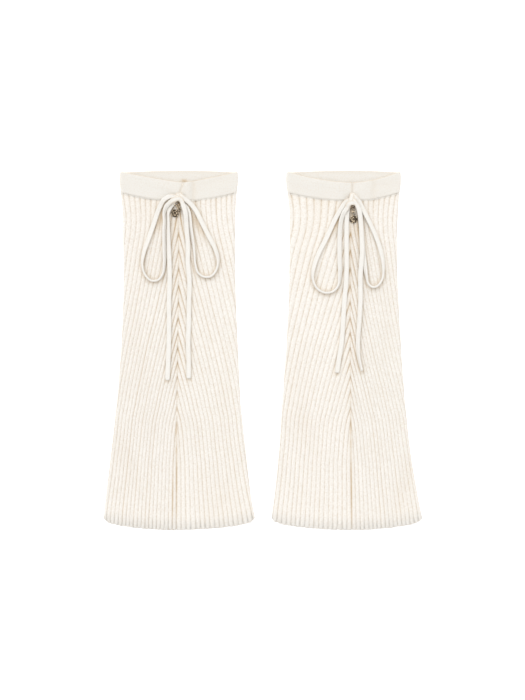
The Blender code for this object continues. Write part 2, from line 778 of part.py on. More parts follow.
def add_disc(mesh_data, centre, outward, sideways):
    """A round disc with a raised rim on both faces, turned from a profile of (share of radius, height)."""
    normal = outward.cross(sideways)
    half = DISC_THICK / 2
    profile = [
        (0.72, half),
        (0.80, DISC_RIM),
        (0.92, DISC_RIM),
        (1.0, half * 0.6),
        (1.0, -half * 0.6),
        (0.92, -DISC_RIM),
        (0.80, -DISC_RIM),
        (0.72, -half),
    ]
    rings = []
    for share, high in profile:
        ring = []
        for k in range(DISC_SIDES):
            angle = 2 * math.pi * k / DISC_SIDES
            flat = outward * math.cos(angle) + sideways * math.sin(angle)
            ring.append(mesh_data.verts.new(centre + flat * share * DISC_RADIUS + normal * high))
        rings.append(ring)
    for first, second in zip(rings, rings[1:]):
        for k in range(DISC_SIDES):
            after = (k + 1) % DISC_SIDES
            mesh_data.faces.new((first[k], first[after], second[after], second[k]))
    mesh_data.faces.new(rings[0])
    mesh_data.faces.new(list(reversed(rings[-1])))


def main():
    for item in list(bpy.data.objects):
        bpy.data.objects.remove(item, do_unlink=True)
    rib_knit = make_material("rib knit", (0.91, 0.87, 0.78), 0.9)
    plain_knit = make_material("plain knit", (0.88, 0.85, 0.78), 0.9)
    cord_knit = make_material("cord knit", (0.94, 0.92, 0.87), 0.85)
    brass = make_material("antique brass", (0.30, 0.23, 0.14), 0.4, metallic=1.0)
    for warmer in WARMERS:
        make_leg(warmer, rib_knit.copy())
        make_band(warmer, plain_knit.copy())
        for piece, rows in warmer.cords.items():
            tail = piece.startswith("tail")
            step = TAIL_STEP if tail else LOOP_STEP
            crowding = TAIL_CROWDING if tail else 1.0
            make_cord(f"{warmer.name}_{piece}", warmer, rows, step, crowding, cord_knit.copy())
        make_knot(warmer, cord_knit.copy())
        make_charm(warmer, brass)


main()
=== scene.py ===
# %% [markdown]
# # A pair of rib-knit leg warmers
# Two flared tubes of rib knit lie flat, side by side, and are seen from straight above. Each has a folded plain
# band, a flat drawstring tied in a bow over its front seam, and a small brass charm on the knot. The CAD model
# gives the places and sizes. This script builds the cloth, the cords and the charms that are seen.

# %% Load the frame
import math
from collections import namedtuple

import bmesh
import bpy
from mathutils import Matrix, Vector, kdtree, noise

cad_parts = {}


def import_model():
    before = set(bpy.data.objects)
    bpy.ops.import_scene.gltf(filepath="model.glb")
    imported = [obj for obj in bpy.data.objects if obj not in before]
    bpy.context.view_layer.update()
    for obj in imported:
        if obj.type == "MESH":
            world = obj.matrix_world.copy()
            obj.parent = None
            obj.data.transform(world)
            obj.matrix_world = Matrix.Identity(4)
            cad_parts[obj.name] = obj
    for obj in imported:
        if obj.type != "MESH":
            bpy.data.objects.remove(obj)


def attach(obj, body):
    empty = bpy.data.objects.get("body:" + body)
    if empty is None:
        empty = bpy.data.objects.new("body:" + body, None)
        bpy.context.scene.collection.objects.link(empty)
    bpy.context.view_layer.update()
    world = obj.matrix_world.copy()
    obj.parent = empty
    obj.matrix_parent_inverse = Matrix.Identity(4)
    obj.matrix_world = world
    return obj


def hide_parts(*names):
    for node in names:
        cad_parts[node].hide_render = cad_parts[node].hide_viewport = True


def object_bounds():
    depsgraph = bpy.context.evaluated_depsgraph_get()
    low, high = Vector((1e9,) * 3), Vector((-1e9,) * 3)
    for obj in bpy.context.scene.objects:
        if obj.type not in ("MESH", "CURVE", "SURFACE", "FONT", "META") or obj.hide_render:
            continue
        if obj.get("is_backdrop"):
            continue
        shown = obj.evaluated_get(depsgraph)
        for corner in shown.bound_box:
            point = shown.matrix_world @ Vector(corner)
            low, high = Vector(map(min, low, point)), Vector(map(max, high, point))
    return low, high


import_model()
cad_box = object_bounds()
scene = bpy.context.scene
MM = 0.001

# %% [markdown]
# ## Camera
# The picture looks straight down on the pair. A long lens from almost two metres keeps the sides of the legs
# from showing. A camera that isn't turned looks down already, with +Y at the top of the picture.

# %% Camera
CAMERA_PLACE = (-0.0004, 0.0004, 1.944)
CAMERA_LENS = 85.0
CAMERA_SENSOR = 36.0

camera_data = bpy.data.cameras.new("camera")
camera_data.lens = CAMERA_LENS
camera_data.sensor_width = CAMERA_SENSOR
camera = bpy.data.objects.new("camera", camera_data)
camera.location = CAMERA_PLACE
scene.collection.objects.link(camera)
scene.camera = camera
scene.view_settings.view_transform = "Standard"
print("camera height", CAMERA_PLACE[2])

# %% [markdown]
# ## Outlines and routes
# A knitter lays out a leg warmer by its outline: where its left side, its seam and its right side are, row by
# row. The tables are in millimetres, x from each leg warmer's own centre line and down from the top of its band.
# A route's lift is the cord's height above lying on the ribs. Its lean is the angle by which its left edge, seen
# along the route, is turned up. Each row of a cord's route is (x, down, lift, lean).

# %% Tables of the two leg warmers
PAIR_WIDTH = 375.0
PAIR_LENGTH = 422.7
TOP = PAIR_LENGTH / 2
Outline = namedtuple("Outline", "down left seam right")
Puff = namedtuple("Puff", "x wide rise")
Route = namedtuple("Route", "x down lift lean")
Charm = namedtuple("Charm", "x down link_turn disc_turn")


def table(kind, *rows):
    return [kind(*row) for row in rows]


LEFT_OUTLINE = table(
    Outline,
    (2.0, -69.3, 6.6, 69.4), (14.0, -69.5, 5.2, 69.3), (27.0, -68.4, 0.8, 67.9), (46.7, -66.8, -0.2, 66.9),
    (93.6, -65.5, -0.2, 66.1), (152.3, -65.6, -0.6, 67.1), (210.9, -68.4, -1.6, 69.6),
    (269.6, -73.0, -2.3, 72.4), (328.3, -79.4, -2.6, 78.3), (386.9, -86.5, -2.9, 85.5),
    (409.4, -89.0, -3.2, 89.4),
)
RIGHT_OUTLINE = table(
    Outline,
    (2.0, -75.6, 2.1, 59.0), (14.0, -75.7, 2.1, 59.2), (27.0, -74.0, 1.6, 57.6), (46.7, -72.2, 0.6, 56.0),
    (93.6, -71.9, -0.4, 54.6), (152.3, -73.0, -0.6, 56.5), (210.9, -75.9, -0.4, 59.8),
    (269.6, -80.2, 0.0, 64.0), (328.3, -84.0, 0.2, 70.3), (386.9, -90.2, 1.2, 80.0), (409.4, -93.2, 1.5, 84.5),
)
LEFT_PUFFS = [Puff(9.0, 5.0, 0.9), Puff(16.5, 2.6, -0.9), Puff(-10.0, 9.0, 0.4)]
RIGHT_PUFFS = [Puff(-12.0, 9.0, 0.6), Puff(12.0, 8.0, 0.6), Puff(27.0, 4.0, -0.4)]

LEFT_CORDS = {
    "loop_left": [
        (-7.2, 31.2, 4.2, 0), (-11.5, 31.8, 4.0, 0), (-17.4, 35.4, 2.4, 0), (-22.0, 43.0, 0.8, 0),
        (-25.6, 52.0, 0.1, 0), (-29.6, 64.0, 0.0, 5), (-35.2, 80.2, 0.0, 15), (-40.9, 96.7, 0.0, 35),
        (-42.9, 110.0, 0.0, 70), (-39.6, 122.3, 0.0, 90), (-32.0, 129.6, 0.0, 90), (-23.8, 128.6, 0.0, 90),
        (-18.4, 121.0, 0.0, 80), (-16.8, 108.0, 0.0, 65), (-17.0, 93.4, 0.0, 60), (-17.2, 70.4, 0.0, 60),
        (-16.6, 60.2, 0.0, 60), (-16.9, 50.0, 0.5, 60), (-14.0, 42.6, 2.9, 35), (-9.4, 37.8, 4.0, 15),
    ],
    "loop_right": [
        (4.2, 31.6, 2.6, 0), (7.6, 34.4, 2.0, 0), (12.9, 38.8, 1.0, 0), (19.1, 46.2, 0.3, 0),
        (26.5, 60.4, 0.0, -5), (34.8, 77.0, 0.0, -15), (43.1, 93.4, 0.0, -35), (46.3, 106.5, 0.0, -70),
        (43.6, 118.0, 0.0, -90), (37.4, 124.6, 0.0, -90), (29.8, 125.2, 0.0, -90), (23.0, 120.8, 0.0, -90),
        (19.6, 111.0, 0.0, -90), (18.2, 96.7, 0.0, -80), (16.2, 80.0, 0.0, -70), (14.4, 67.6, 0.0, -65),
        (13.2, 56.0, 0.0, -60), (10.8, 47.6, 0.0, -35), (6.9, 42.0, 0.0, -10), (3.2, 38.8, 0.2, 0),
    ],
    "tail_left": [
        (-7.2, 40.4, 0.0, 0), (-9.8, 43.4, 0.0, 10), (-12.3, 50.0, 0.0, 60), (-12.3, 60.2, 0.0, 65),
        (-12.2, 70.0, 0.0, 55), (-11.8, 86.8, 0.0, 35), (-11.0, 106.5, 0.0, 15), (-10.7, 130.0, 0.0, 0),
        (-11.4, 153.5, 0.0, 0), (-11.4, 186.3, 0.0, 0), (-11.9, 210.9, 0.0, 0), (-13.3, 246.2, 0.0, 0),
    ],
    "tail_right": [
        (3.8, 37.4, 3.8, 0), (6.6, 45.2, 3.9, 0), (8.2, 52.6, 3.2, 0), (8.8, 60.2, 1.4, 0),
        (9.3, 70.0, 0.2, 0), (10.8, 88.9, 0.0, 0), (10.6, 107.7, 0.0, 0), (12.6, 130.0, 0.0, 0),
        (12.0, 153.5, 0.0, 0), (11.7, 181.6, 0.0, 0), (11.0, 201.6, 0.0, 5), (11.7, 226.8, 0.0, 5),
        (11.6, 244.2, 0.0, 0),
    ],
}
RIGHT_CORDS = {
    "loop_left": [
        (-6.1, 37.6, 2.4, 0), (-9.0, 41.8, 1.8, 0), (-13.2, 48.6, 0.7, 0), (-19.6, 60.4, 0.2, 0),
        (-27.9, 78.6, 0.0, 5), (-37.0, 96.7, 0.0, 10), (-43.0, 113.1, 0.0, 35), (-44.6, 127.0, 0.0, 75),
        (-39.8, 138.3, 0.0, 90), (-31.0, 143.6, 0.0, 90), (-21.6, 142.6, 0.0, 90), (-14.9, 136.2, 0.0, 75),
        (-12.7, 123.1, 0.0, 45), (-13.1, 103.2, 0.0, 20), (-13.1, 83.5, 0.0, 20), (-12.2, 65.3, 0.0, 30),
        (-10.4, 56.0, 0.8, 30), (-7.8, 49.6, 2.8, 20), (-4.4, 44.6, 3.2, 5),
    ],
    "loop_right": [
        (6.8, 33.4, 2.0, 0), (9.7, 37.4, 1.3, 0), (13.6, 44.8, 0.4, -5), (21.5, 60.4, 0.0, -25),
        (29.7, 78.6, 0.0, -25), (35.2, 95.0, 0.0, -30), (38.2, 112.0, 0.0, -60), (37.2, 126.4, 0.0, -85),
        (31.6, 135.6, 0.0, -90), (25.4, 137.2, 0.0, -90), (20.4, 133.0, 0.0, -90), (18.4, 125.0, 0.0, -75),
        (16.8, 114.0, 0.0, -35), (15.2, 102.0, 0.0, -5), (14.0, 90.0, 0.0, 0), (13.0, 77.0, 0.0, 0),
        (11.6, 60.4, 0.0, 0), (10.4, 50.0, 0.0, 0), (8.8, 44.6, 0.0, 0),
    ],
    "tail_left": [
        (-3.0, 43.6, 0.0, 0), (-4.0, 50.0, 0.0, 0), (-4.7, 62.1, 0.0, 0), (-4.9, 86.8, 0.0, 0),
        (-4.8, 111.5, 0.0, 0), (-5.2, 128.0, 0.0, 0), (-7.3, 152.6, 0.0, 0), (-8.9, 177.4, 0.0, 0),
        (-10.6, 202.0, 0.0, 0), (-13.8, 221.7, 0.0, 0), (-16.1, 237.6, 0.0, 0),
    ],
    "tail_right": [
        (7.2, 41.4, 3.9, 0), (9.8, 48.0, 3.7, 0), (11.5, 60.4, 2.9, 0), (12.6, 78.0, 2.9, 0),
        (13.2, 96.0, 2.9, 0), (12.3, 108.0, 2.9, 0), (11.4, 120.0, 1.4, 0), (11.3, 134.0, 0.2, 0),
        (11.4, 152.6, 0.0, 20), (10.0, 177.4, 0.0, 30), (8.3, 202.0, 0.0, 40), (9.2, 218.4, 0.0, 60),
        (13.0, 235.4, 0.0, 75),
    ],
}

# One row for each leg warmer. dense_left and dense_right are the ribs that show between the seam and each side
# at the distances of COUNT_DOWN, and dip_power shapes the front of the band's top edge.
Warmer = namedtuple("Warmer", "name middle outline dense_left dense_right dip_power puffs cords charm")
WARMERS = [
    Warmer(
        name="left",
        middle=-PAIR_WIDTH / 2 - LEFT_OUTLINE[-1].left,
        outline=LEFT_OUTLINE,
        dense_left=(10.6, 11.8, 13.0, 14.2, 15.6, 17.4, 19.1, 19.1),
        dense_right=(11.1, 11.6, 12.2, 13.1, 14.2, 15.7, 17.4, 16.7),
        dip_power=1.15,
        puffs=LEFT_PUFFS,
        cords=LEFT_CORDS,
        charm=Charm(-2.9, 40.0, 34.0, -54.0),
    ),
    Warmer(
        name="right",
        middle=PAIR_WIDTH / 2 - RIGHT_OUTLINE[-1].right,
        outline=RIGHT_OUTLINE,
        dense_left=(8.6, 9.6, 10.6, 11.9, 13.5, 15.5, 17.1, 17.4),
        dense_right=(8.9, 10.1, 11.6, 13.3, 14.8, 15.8, 16.8, 17.2),
        dip_power=1.7,
        puffs=RIGHT_PUFFS,
        cords=RIGHT_CORDS,
        charm=Charm(2.2, 42.8, 5.0, 3.0),
    ),
]

# %% [markdown]
# ## Smooth curves through the tables
# A table gives a few rows, and the cloth needs hundreds. One helper draws the smooth curve through a column of
# a table, and everything below reads its widths, heights and routes from it.

# %% Smooth curves
CORD_WIDE = 5.6
CORD_THICK = 2.4
LEG_HIGH_TOP = 6.0
LEG_HIGH_HEM = 5.2
GAP = 0.3


def smooth_step(value):
    value = min(max(value, 0.0), 1.0)
    return value * value * (3 - 2 * value)


def curve_value(places, values, at):
    """The height at a place of the smooth curve through the given places and values."""
    last = len(places) - 1
    if at <= places[0]:
        return values[0]
    if at >= places[last]:
        return values[last]
    spans = [places[i + 1] - places[i] for i in range(last)]
    steps = [(values[i + 1] - values[i]) / spans[i] for i in range(last)]
    slopes = [steps[0]] + [(steps[i - 1] + steps[i]) / 2 for i in range(1, last)] + [steps[-1]]
    k = max(i for i in range(last) if places[i] <= at)
    t = (at - places[k]) / spans[k]
    rise = t * t * (3 - 2 * t)
    start_pull = t * (1 - t) ** 2 * spans[k] * slopes[k]
    end_pull = t * t * (t - 1) * spans[k] * slopes[k + 1]
    return values[k] * (1 - rise) + values[k + 1] * rise + start_pull + end_pull


def outline_at(outline, down):
    """The left side, the seam and the right side of a leg warmer at this distance from its top."""
    places = [row.down for row in outline]
    return [
        curve_value(places, [getattr(row, column) for row in outline], down)
        for column in ("left", "seam", "right")
    ]


def seam_and_half(warmer, side, down):
    """Where the seam is, and how far one side (-1 left, 1 right) lies from it, at this distance from the top."""
    left, seam, right = outline_at(warmer.outline, down)
    return seam, abs((left if side < 0 else right) - seam)


def leg_high(down):
    return LEG_HIGH_TOP + (LEG_HIGH_HEM - LEG_HIGH_TOP) * smooth_step(down / PAIR_LENGTH)


def world(warmer, x, down, high):
    """A place on a leg warmer, from its table's millimetres to the frame's metres."""
    return Vector(((warmer.middle + x) * MM, (TOP - down) * MM, high * MM))


print("left leg at the hem:", [round(v, 1) for v in outline_at(LEFT_OUTLINE, 409.4)])

# %% [markdown]
# ## Shared finishes
# Rib knit, plain knit and cord are one yarn, so they share one shader group for the stitches. It reads two
# counts from a piece's UV map: U counts the columns of stitches, which a knitter calls wales, and V the rows,
# called courses. Each stitch is a V of two slanted legs. The group puts out the stitch's height and the gaps
# round it. An image could give the same, but counts keep every stitch sharp and follow the cloth's own rows.

# %% Helpers for shader nodes
def group_tree(name, inputs, outputs):
    tree = bpy.data.node_groups.new(name, "ShaderNodeTree")
    for direction, names in (("INPUT", inputs), ("OUTPUT", outputs)):
        for socket in names:
            tree.interface.new_socket(name=socket, in_out=direction, socket_type="NodeSocketFloat")
    return tree, tree.nodes.new("NodeGroupInput"), tree.nodes.new("NodeGroupOutput")


def wire(tree, source, target):
    """Puts a socket, a plain number or a plain colour into an input."""
    if isinstance(source, (int, float, tuple)):
        target.default_value = source
    else:
        tree.links.new(source, target)


def maths(tree, operation, *values):
    node = tree.nodes.new("ShaderNodeMath")
    node.operation = operation
    for value, socket in zip(values, node.inputs):
        wire(tree, value, socket)
    return node.outputs[0]


def remap(tree, value, low, high, to_low=0.0, to_high=1.0):
    node = tree.nodes.new("ShaderNodeMapRange")
    node.interpolation_type = "SMOOTHSTEP"
    names = ("Value", "From Min", "From Max", "To Min", "To Max")
    for name, given in zip(names, (value, low, high, to_low, to_high)):
        wire(tree, given, node.inputs[name])
    return node.outputs["Result"]


def mix_colour(tree, share, first, second):
    node = tree.nodes.new("ShaderNodeMix")
    node.data_type = "RGBA"
    wire(tree, share, node.inputs["Factor"])
    wire(tree, first, node.inputs["A"])
    wire(tree, second, node.inputs["B"])
    return node.outputs["Result"]


def noise_value(tree, scale, detail=2.0):
    place = tree.nodes.new("ShaderNodeTexCoord")
    node = tree.nodes.new("ShaderNodeTexNoise")
    node.inputs["Scale"].default_value = scale
    node.inputs["Detail"].default_value = detail
    tree.links.new(place.outputs["Object"], node.inputs["Vector"])
    return node.outputs["Fac"]


def attribute_value(tree, name):
    node = tree.nodes.new("ShaderNodeAttribute")
    node.attribute_name = name
    return node.outputs["Fac"]


def bump(tree, height, distance, before=None):
    node = tree.nodes.new("ShaderNodeBump")
    node.inputs["Distance"].default_value = distance
    tree.links.new(height, node.inputs["Height"])
    if before is not None:
        tree.links.new(before, node.inputs["Normal"])
    return node.outputs["Normal"]


def new_material(name, roughness, metallic=0.0):
    """A material with only its Principled shader, on which all-over numbers are set."""
    material = bpy.data.materials.new(name)
    material.use_nodes = True
    shader = material.node_tree.nodes["Principled BSDF"]
    shader.inputs["Roughness"].default_value = roughness
    shader.inputs["Metallic"].default_value = metallic
    return material, material.node_tree, shader


# %% The knit stitch group
# How steeply a stitch's leg falls to its edges, across the wale and along the course
LEG_FULL = 0.6
COURSE_FULL = 0.7
ABOVE_ZERO = 0.0001


def knit_stitch_group():
    tree, given, result = group_tree("knit stitch", ["Wale", "Course", "Slant"], ["Height", "Gap"])
    wale, course, slant = (given.outputs[name] for name in ("Wale", "Course", "Slant"))
    from_middle = maths(tree, "ABSOLUTE", maths(tree, "SUBTRACT", maths(tree, "FRACT", wale), 0.5))
    aside = maths(tree, "MULTIPLY", from_middle, 2.0)
    leg_round = maths(tree, "SINE", maths(tree, "MULTIPLY", aside, math.pi))
    across_high = maths(tree, "POWER", maths(tree, "MAXIMUM", leg_round, ABOVE_ZERO), LEG_FULL)
    slanted = maths(tree, "FRACT", maths(tree, "ADD", course, maths(tree, "MULTIPLY", aside, slant)))
    along = maths(tree, "SINE", maths(tree, "MULTIPLY", slanted, math.pi))
    along_high = maths(tree, "POWER", maths(tree, "MAXIMUM", along, ABOVE_ZERO), COURSE_FULL)
    height = maths(tree, "MULTIPLY", across_high, along_high)
    tree.links.new(height, result.inputs["Height"])
    tree.links.new(maths(tree, "SUBTRACT", 1.0, height), result.inputs["Gap"])
    return tree


KNIT_STITCH = knit_stitch_group()
print("stitch group sockets:", [item.name for item in KNIT_STITCH.interface.items_tree])

# %% [markdown]
# ## Yarn
# The yarn is a matt cream cotton blend. Its fibres make the surface a little fuzzy, which sheen gives at grazing
# angles. The gaps between stitches are painted warmer as shade, because light bounces there from yarn to yarn,
# and in the rib knit the grooves between ribs are painted warm beige as shade. A piece's shade attribute paints
# brown shade into its hollows and troughs, and a second attribute paints grey shade at the edge of the hem.

# %% Knit materials
CREST_CREAM = (0.962, 0.934, 0.89, 1.0)
# Beige of the painted shade in stitch gaps and rib grooves, also used for the random mottle and flecks
SHADE_AND_FLECK_BEIGE = (0.75, 0.665, 0.555, 1.0)
BAND_CREAM = (0.84, 0.82, 0.778, 1.0)
CORD_CREAM = (0.9, 0.885, 0.85, 1.0)
SHADE_BROWN = (0.62, 0.46, 0.27, 1.0)
# Grey of the painted shade at the hem's edge
HEM_SHADE_GREY = (0.56, 0.545, 0.52, 1.0)
KNIT_ROUGHNESS = 0.92
KNIT_SPECULAR = 0.15
SHEEN = 0.12
SHEEN_ROUGHNESS = 0.5
WALES_IN_RIB = 3.0
# How far from a rib's crest the groove's painted shade starts, and how much of it there is in the groove
GROOVE_SHADE_FROM = 0.66
GROOVE_SHADE_SHARE = 0.9
UNEVEN_SCALE = 230.0
MOTTLE_SCALE = 30.0
MOTTLE_SHARE = 0.08
SPECKLE_SCALE = 620.0
FIBRE_SCALE = 2600.0
FIBRE_DEPTH = 0.00012


def knit_material(name, cream, gap_share, stitch_depth, slant, speckle_share, ribbed=False):
    material, tree, shader = new_material(name, KNIT_ROUGHNESS)
    shader.inputs["Specular IOR Level"].default_value = KNIT_SPECULAR
    shader.inputs["Sheen Weight"].default_value = SHEEN
    shader.inputs["Sheen Roughness"].default_value = SHEEN_ROUGHNESS
    counts = tree.nodes.new("ShaderNodeSeparateXYZ")
    uv = tree.nodes.new("ShaderNodeUVMap")
    uv.uv_map = "knit"
    tree.links.new(uv.outputs["UV"], counts.inputs[0])
    across, course = counts.outputs["X"], counts.outputs["Y"]
    stitch = tree.nodes.new("ShaderNodeGroup")
    stitch.node_tree = KNIT_STITCH
    wale = maths(tree, "ADD", maths(tree, "MULTIPLY", across, WALES_IN_RIB), 0.5) if ribbed else across
    wire(tree, wale, stitch.inputs["Wale"])
    wire(tree, course, stitch.inputs["Course"])
    wire(tree, slant, stitch.inputs["Slant"])
    # Painted shade: the gaps between stitches, and in the rib knit the grooves between ribs, are mixed towards
    # beige
    colour = mix_colour(tree, maths(tree, "MULTIPLY", stitch.outputs["Gap"], gap_share), cream, SHADE_AND_FLECK_BEIGE)
    if ribbed:
        rib_place = maths(tree, "SUBTRACT", maths(tree, "FRACT", across), 0.5)
        from_crest = maths(tree, "MULTIPLY", maths(tree, "ABSOLUTE", rib_place), 2.0)
        uneven = remap(tree, noise_value(tree, UNEVEN_SCALE), 0.35, 0.65, 0.3, 1.0)
        groove = remap(tree, from_crest, GROOVE_SHADE_FROM, 1.0, 0.0, GROOVE_SHADE_SHARE)
        groove = maths(tree, "MULTIPLY", groove, uneven)
        colour = mix_colour(tree, groove, colour, SHADE_AND_FLECK_BEIGE)
    mottle = remap(tree, noise_value(tree, MOTTLE_SCALE, 4.0), 0.35, 0.7, 0.0, MOTTLE_SHARE)
    colour = mix_colour(tree, mottle, colour, SHADE_AND_FLECK_BEIGE)
    speckle = remap(tree, noise_value(tree, SPECKLE_SCALE), 0.4, 0.75, 0.0, speckle_share)
    colour = mix_colour(tree, speckle, colour, SHADE_AND_FLECK_BEIGE)
    colour = mix_colour(tree, attribute_value(tree, "shade"), colour, SHADE_BROWN)
    # Painted grey shade at the edge of the hem
    colour = mix_colour(tree, attribute_value(tree, "dim"), colour, HEM_SHADE_GREY)
    tree.links.new(colour, shader.inputs["Base Color"])
    fibres = bump(tree, noise_value(tree, FIBRE_SCALE, 4.0), FIBRE_DEPTH)
    tree.links.new(bump(tree, stitch.outputs["Height"], stitch_depth, fibres), shader.inputs["Normal"])
    return material


RIB_KNIT = knit_material("rib knit", CREST_CREAM, 0.12, 0.0002, 0.5, 0.42, ribbed=True)
PLAIN_KNIT = knit_material("plain knit", BAND_CREAM, 0.12, 0.00014, 0.5, 0.3)
CORD_KNIT = knit_material("cord knit", CORD_CREAM, 0.1, 0.00009, 0.6, 0.14)
print("knit materials:", RIB_KNIT.name, PLAIN_KNIT.name, CORD_KNIT.name)

# %% Sewn yarn
SEWN_ROUGHNESS = 0.9
SEWN_SCALE = 900.0
SEWN_SHARE = 0.4
SEWN_YARN, sewn_tree, sewn_shader = new_material("sewn yarn", SEWN_ROUGHNESS)
sewn_shader.inputs["Sheen Weight"].default_value = SHEEN
sewn_fleck = remap(sewn_tree, noise_value(sewn_tree, SEWN_SCALE), 0.3, 0.8, 0.0, SEWN_SHARE)
sewn_colour = mix_colour(sewn_tree, sewn_fleck, BAND_CREAM, SHADE_AND_FLECK_BEIGE)
sewn_tree.links.new(sewn_colour, sewn_shader.inputs["Base Color"])
print("sewn yarn:", SEWN_YARN.name)

# %% [markdown]
# ## Making a piece from rows of points
# Cloth, cords and wires are all rows of points with faces between them. This helper turns such points into an
# object with its UV map, its attributes and smooth faces. Its place is in its mesh, so the object itself stays
# at the origin. Another helper says which body a piece rides on and hides the CAD nodes that it stands for.

# %% Piece helpers
def new_piece(name, points, faces, material, uvs=None, **values):
    """A smooth piece of one material. values are its attributes, each with one number a point."""
    mesh = bpy.data.meshes.new(name)
    mesh.from_pydata([tuple(point) for point in points], [], faces)
    mesh.polygons.foreach_set("use_smooth", [True] * len(mesh.polygons))
    if uvs is not None:
        layer = mesh.uv_layers.new(name="knit")
        corner_points = [0] * len(mesh.loops)
        mesh.loops.foreach_get("vertex_index", corner_points)
        layer.data.foreach_set("uv", [part for index in corner_points for part in uvs[index]])
    for key, numbers in values.items():
        mesh.attributes.new(key, "FLOAT", "POINT").data.foreach_set("value", numbers)
    mesh.materials.append(material)
    piece = bpy.data.objects.new(name, mesh)
    scene.collection.objects.link(piece)
    return piece


def tube_faces(rings, sides, closed=False):
    """Quads between rings of points. Unless the rings close, each end gets a fan of its own centre point."""
    faces = []
    pairs = rings if closed else rings - 1
    for ring in range(pairs):
        after = (ring + 1) % rings
        for side in range(sides):
            turn = (side + 1) % sides
            faces.append((ring * sides + side, ring * sides + turn, after * sides + turn, after * sides + side))
    if not closed:
        first_tip = rings * sides
        last_tip = first_tip + 1
        last = (rings - 1) * sides
        faces += [(first_tip, (side + 1) % sides, side) for side in range(sides)]
        faces += [(last_tip, last + side, last + (side + 1) % sides) for side in range(sides)]
    return faces


def face_outward(piece):
    """Turns every face of a closed piece outward."""
    shape = bmesh.new()
    shape.from_mesh(piece.data)
    bmesh.ops.recalc_face_normals(shape, faces=shape.faces)
    if shape.calc_volume(signed=True) < 0:
        bmesh.ops.reverse_faces(shape, faces=shape.faces)
    open_edges = sum(1 for edge in shape.edges if len(edge.link_faces) != 2)
    shape.to_mesh(piece.data)
    shape.free()
    return open_edges


def place_piece(piece, body, slot, *nodes):
    """Says which body a piece rides on and which CAD nodes it stands for. Its slot is not used."""
    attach(piece, body)
    if nodes:
        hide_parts(*nodes)
    print(piece.name, len(piece.data.polygons), "faces")


print("piece helpers ready")

# %% [markdown]
# ## Drawstrings
# A flat knitted cord is a narrow tube of knit, pressed flat. A curve with a bevel would give its outline, but
# not its columns of stitches, so each cord is a mesh tube swept along its route, with eight wales round it as
# soft lobes. The route is the CAD cord's own. It thins towards the knot, where a strand of the knot takes over,
# and a tail's free end is drawn together.

# %% Cord sections
CORD_STEP = 1.0
CORD_SIDES = 32
CORD_WALES = 8
WALE_LOBE = 0.1
CORD_COURSE = 1.9
LOBE_MIDDLE = 0.6
# Painted shade on a cord's sides and underside, away from the knot and in it, and how fast that comes on
CORD_SIDE_SHADE = 0.05
KNOT_SIDE_SHADE = 0.65
SIDE_SHADE_POWER = 1.5
# A cord thins less across its thickness than across its width
THICK_STAYS = 1.25
CORD_UP = Vector((0.0, 0.0, 1.0))


def smooth_route(rows, step):
    """Points a step apart on the smooth curve through the route's rows."""
    lengths = [0.0]
    for first, second in zip(rows, rows[1:]):
        lengths.append(lengths[-1] + math.dist(first[:2], second[:2]))
    columns = list(zip(*rows))
    count = max(round(lengths[-1] / step), 2)
    places = [lengths[-1] * k / count for k in range(count + 1)]
    return [Route(*(curve_value(lengths, column, place) for column in columns)) for place in places]


def cord_high(point):
    """The height of a cord's middle: it lies on the ribs, flat, leaning or on edge, or its lift above them."""
    half_flat = (CORD_WIDE - CORD_THICK) / 2
    half_high = abs(math.sin(math.radians(point.lean))) * half_flat + CORD_THICK / 2
    return leg_high(point.down) + GAP + half_high + point.lift


def cord_section(turn, wide, thick):
    """Across and up from a flat cord's middle, at this share of the way round it."""
    half_flat = (wide - thick) / 2
    straight = 2 * half_flat
    arc = math.pi * thick / 2
    at = turn * 2 * (straight + arc)
    lobe = WALE_LOBE * (abs(math.sin(math.pi * turn * CORD_WALES)) - LOBE_MIDDLE)
    radius = thick / 2
    if at < straight:
        return (half_flat - at, radius + lobe)
    at -= straight
    if at < arc:
        angle = math.pi / 2 + at / radius
        return (-half_flat + (radius + lobe) * math.cos(angle), (radius + lobe) * math.sin(angle))
    at -= arc
    if at < straight:
        return (-half_flat + at, -radius - lobe)
    angle = -math.pi / 2 + (at - straight) / radius
    return (half_flat + (radius + lobe) * math.cos(angle), (radius + lobe) * math.sin(angle))


def path_length(points):
    return sum((after - before).length for before, after in zip(points, points[1:]))


print("cord section:", CORD_SIDES, "points,", CORD_WALES, "wales")

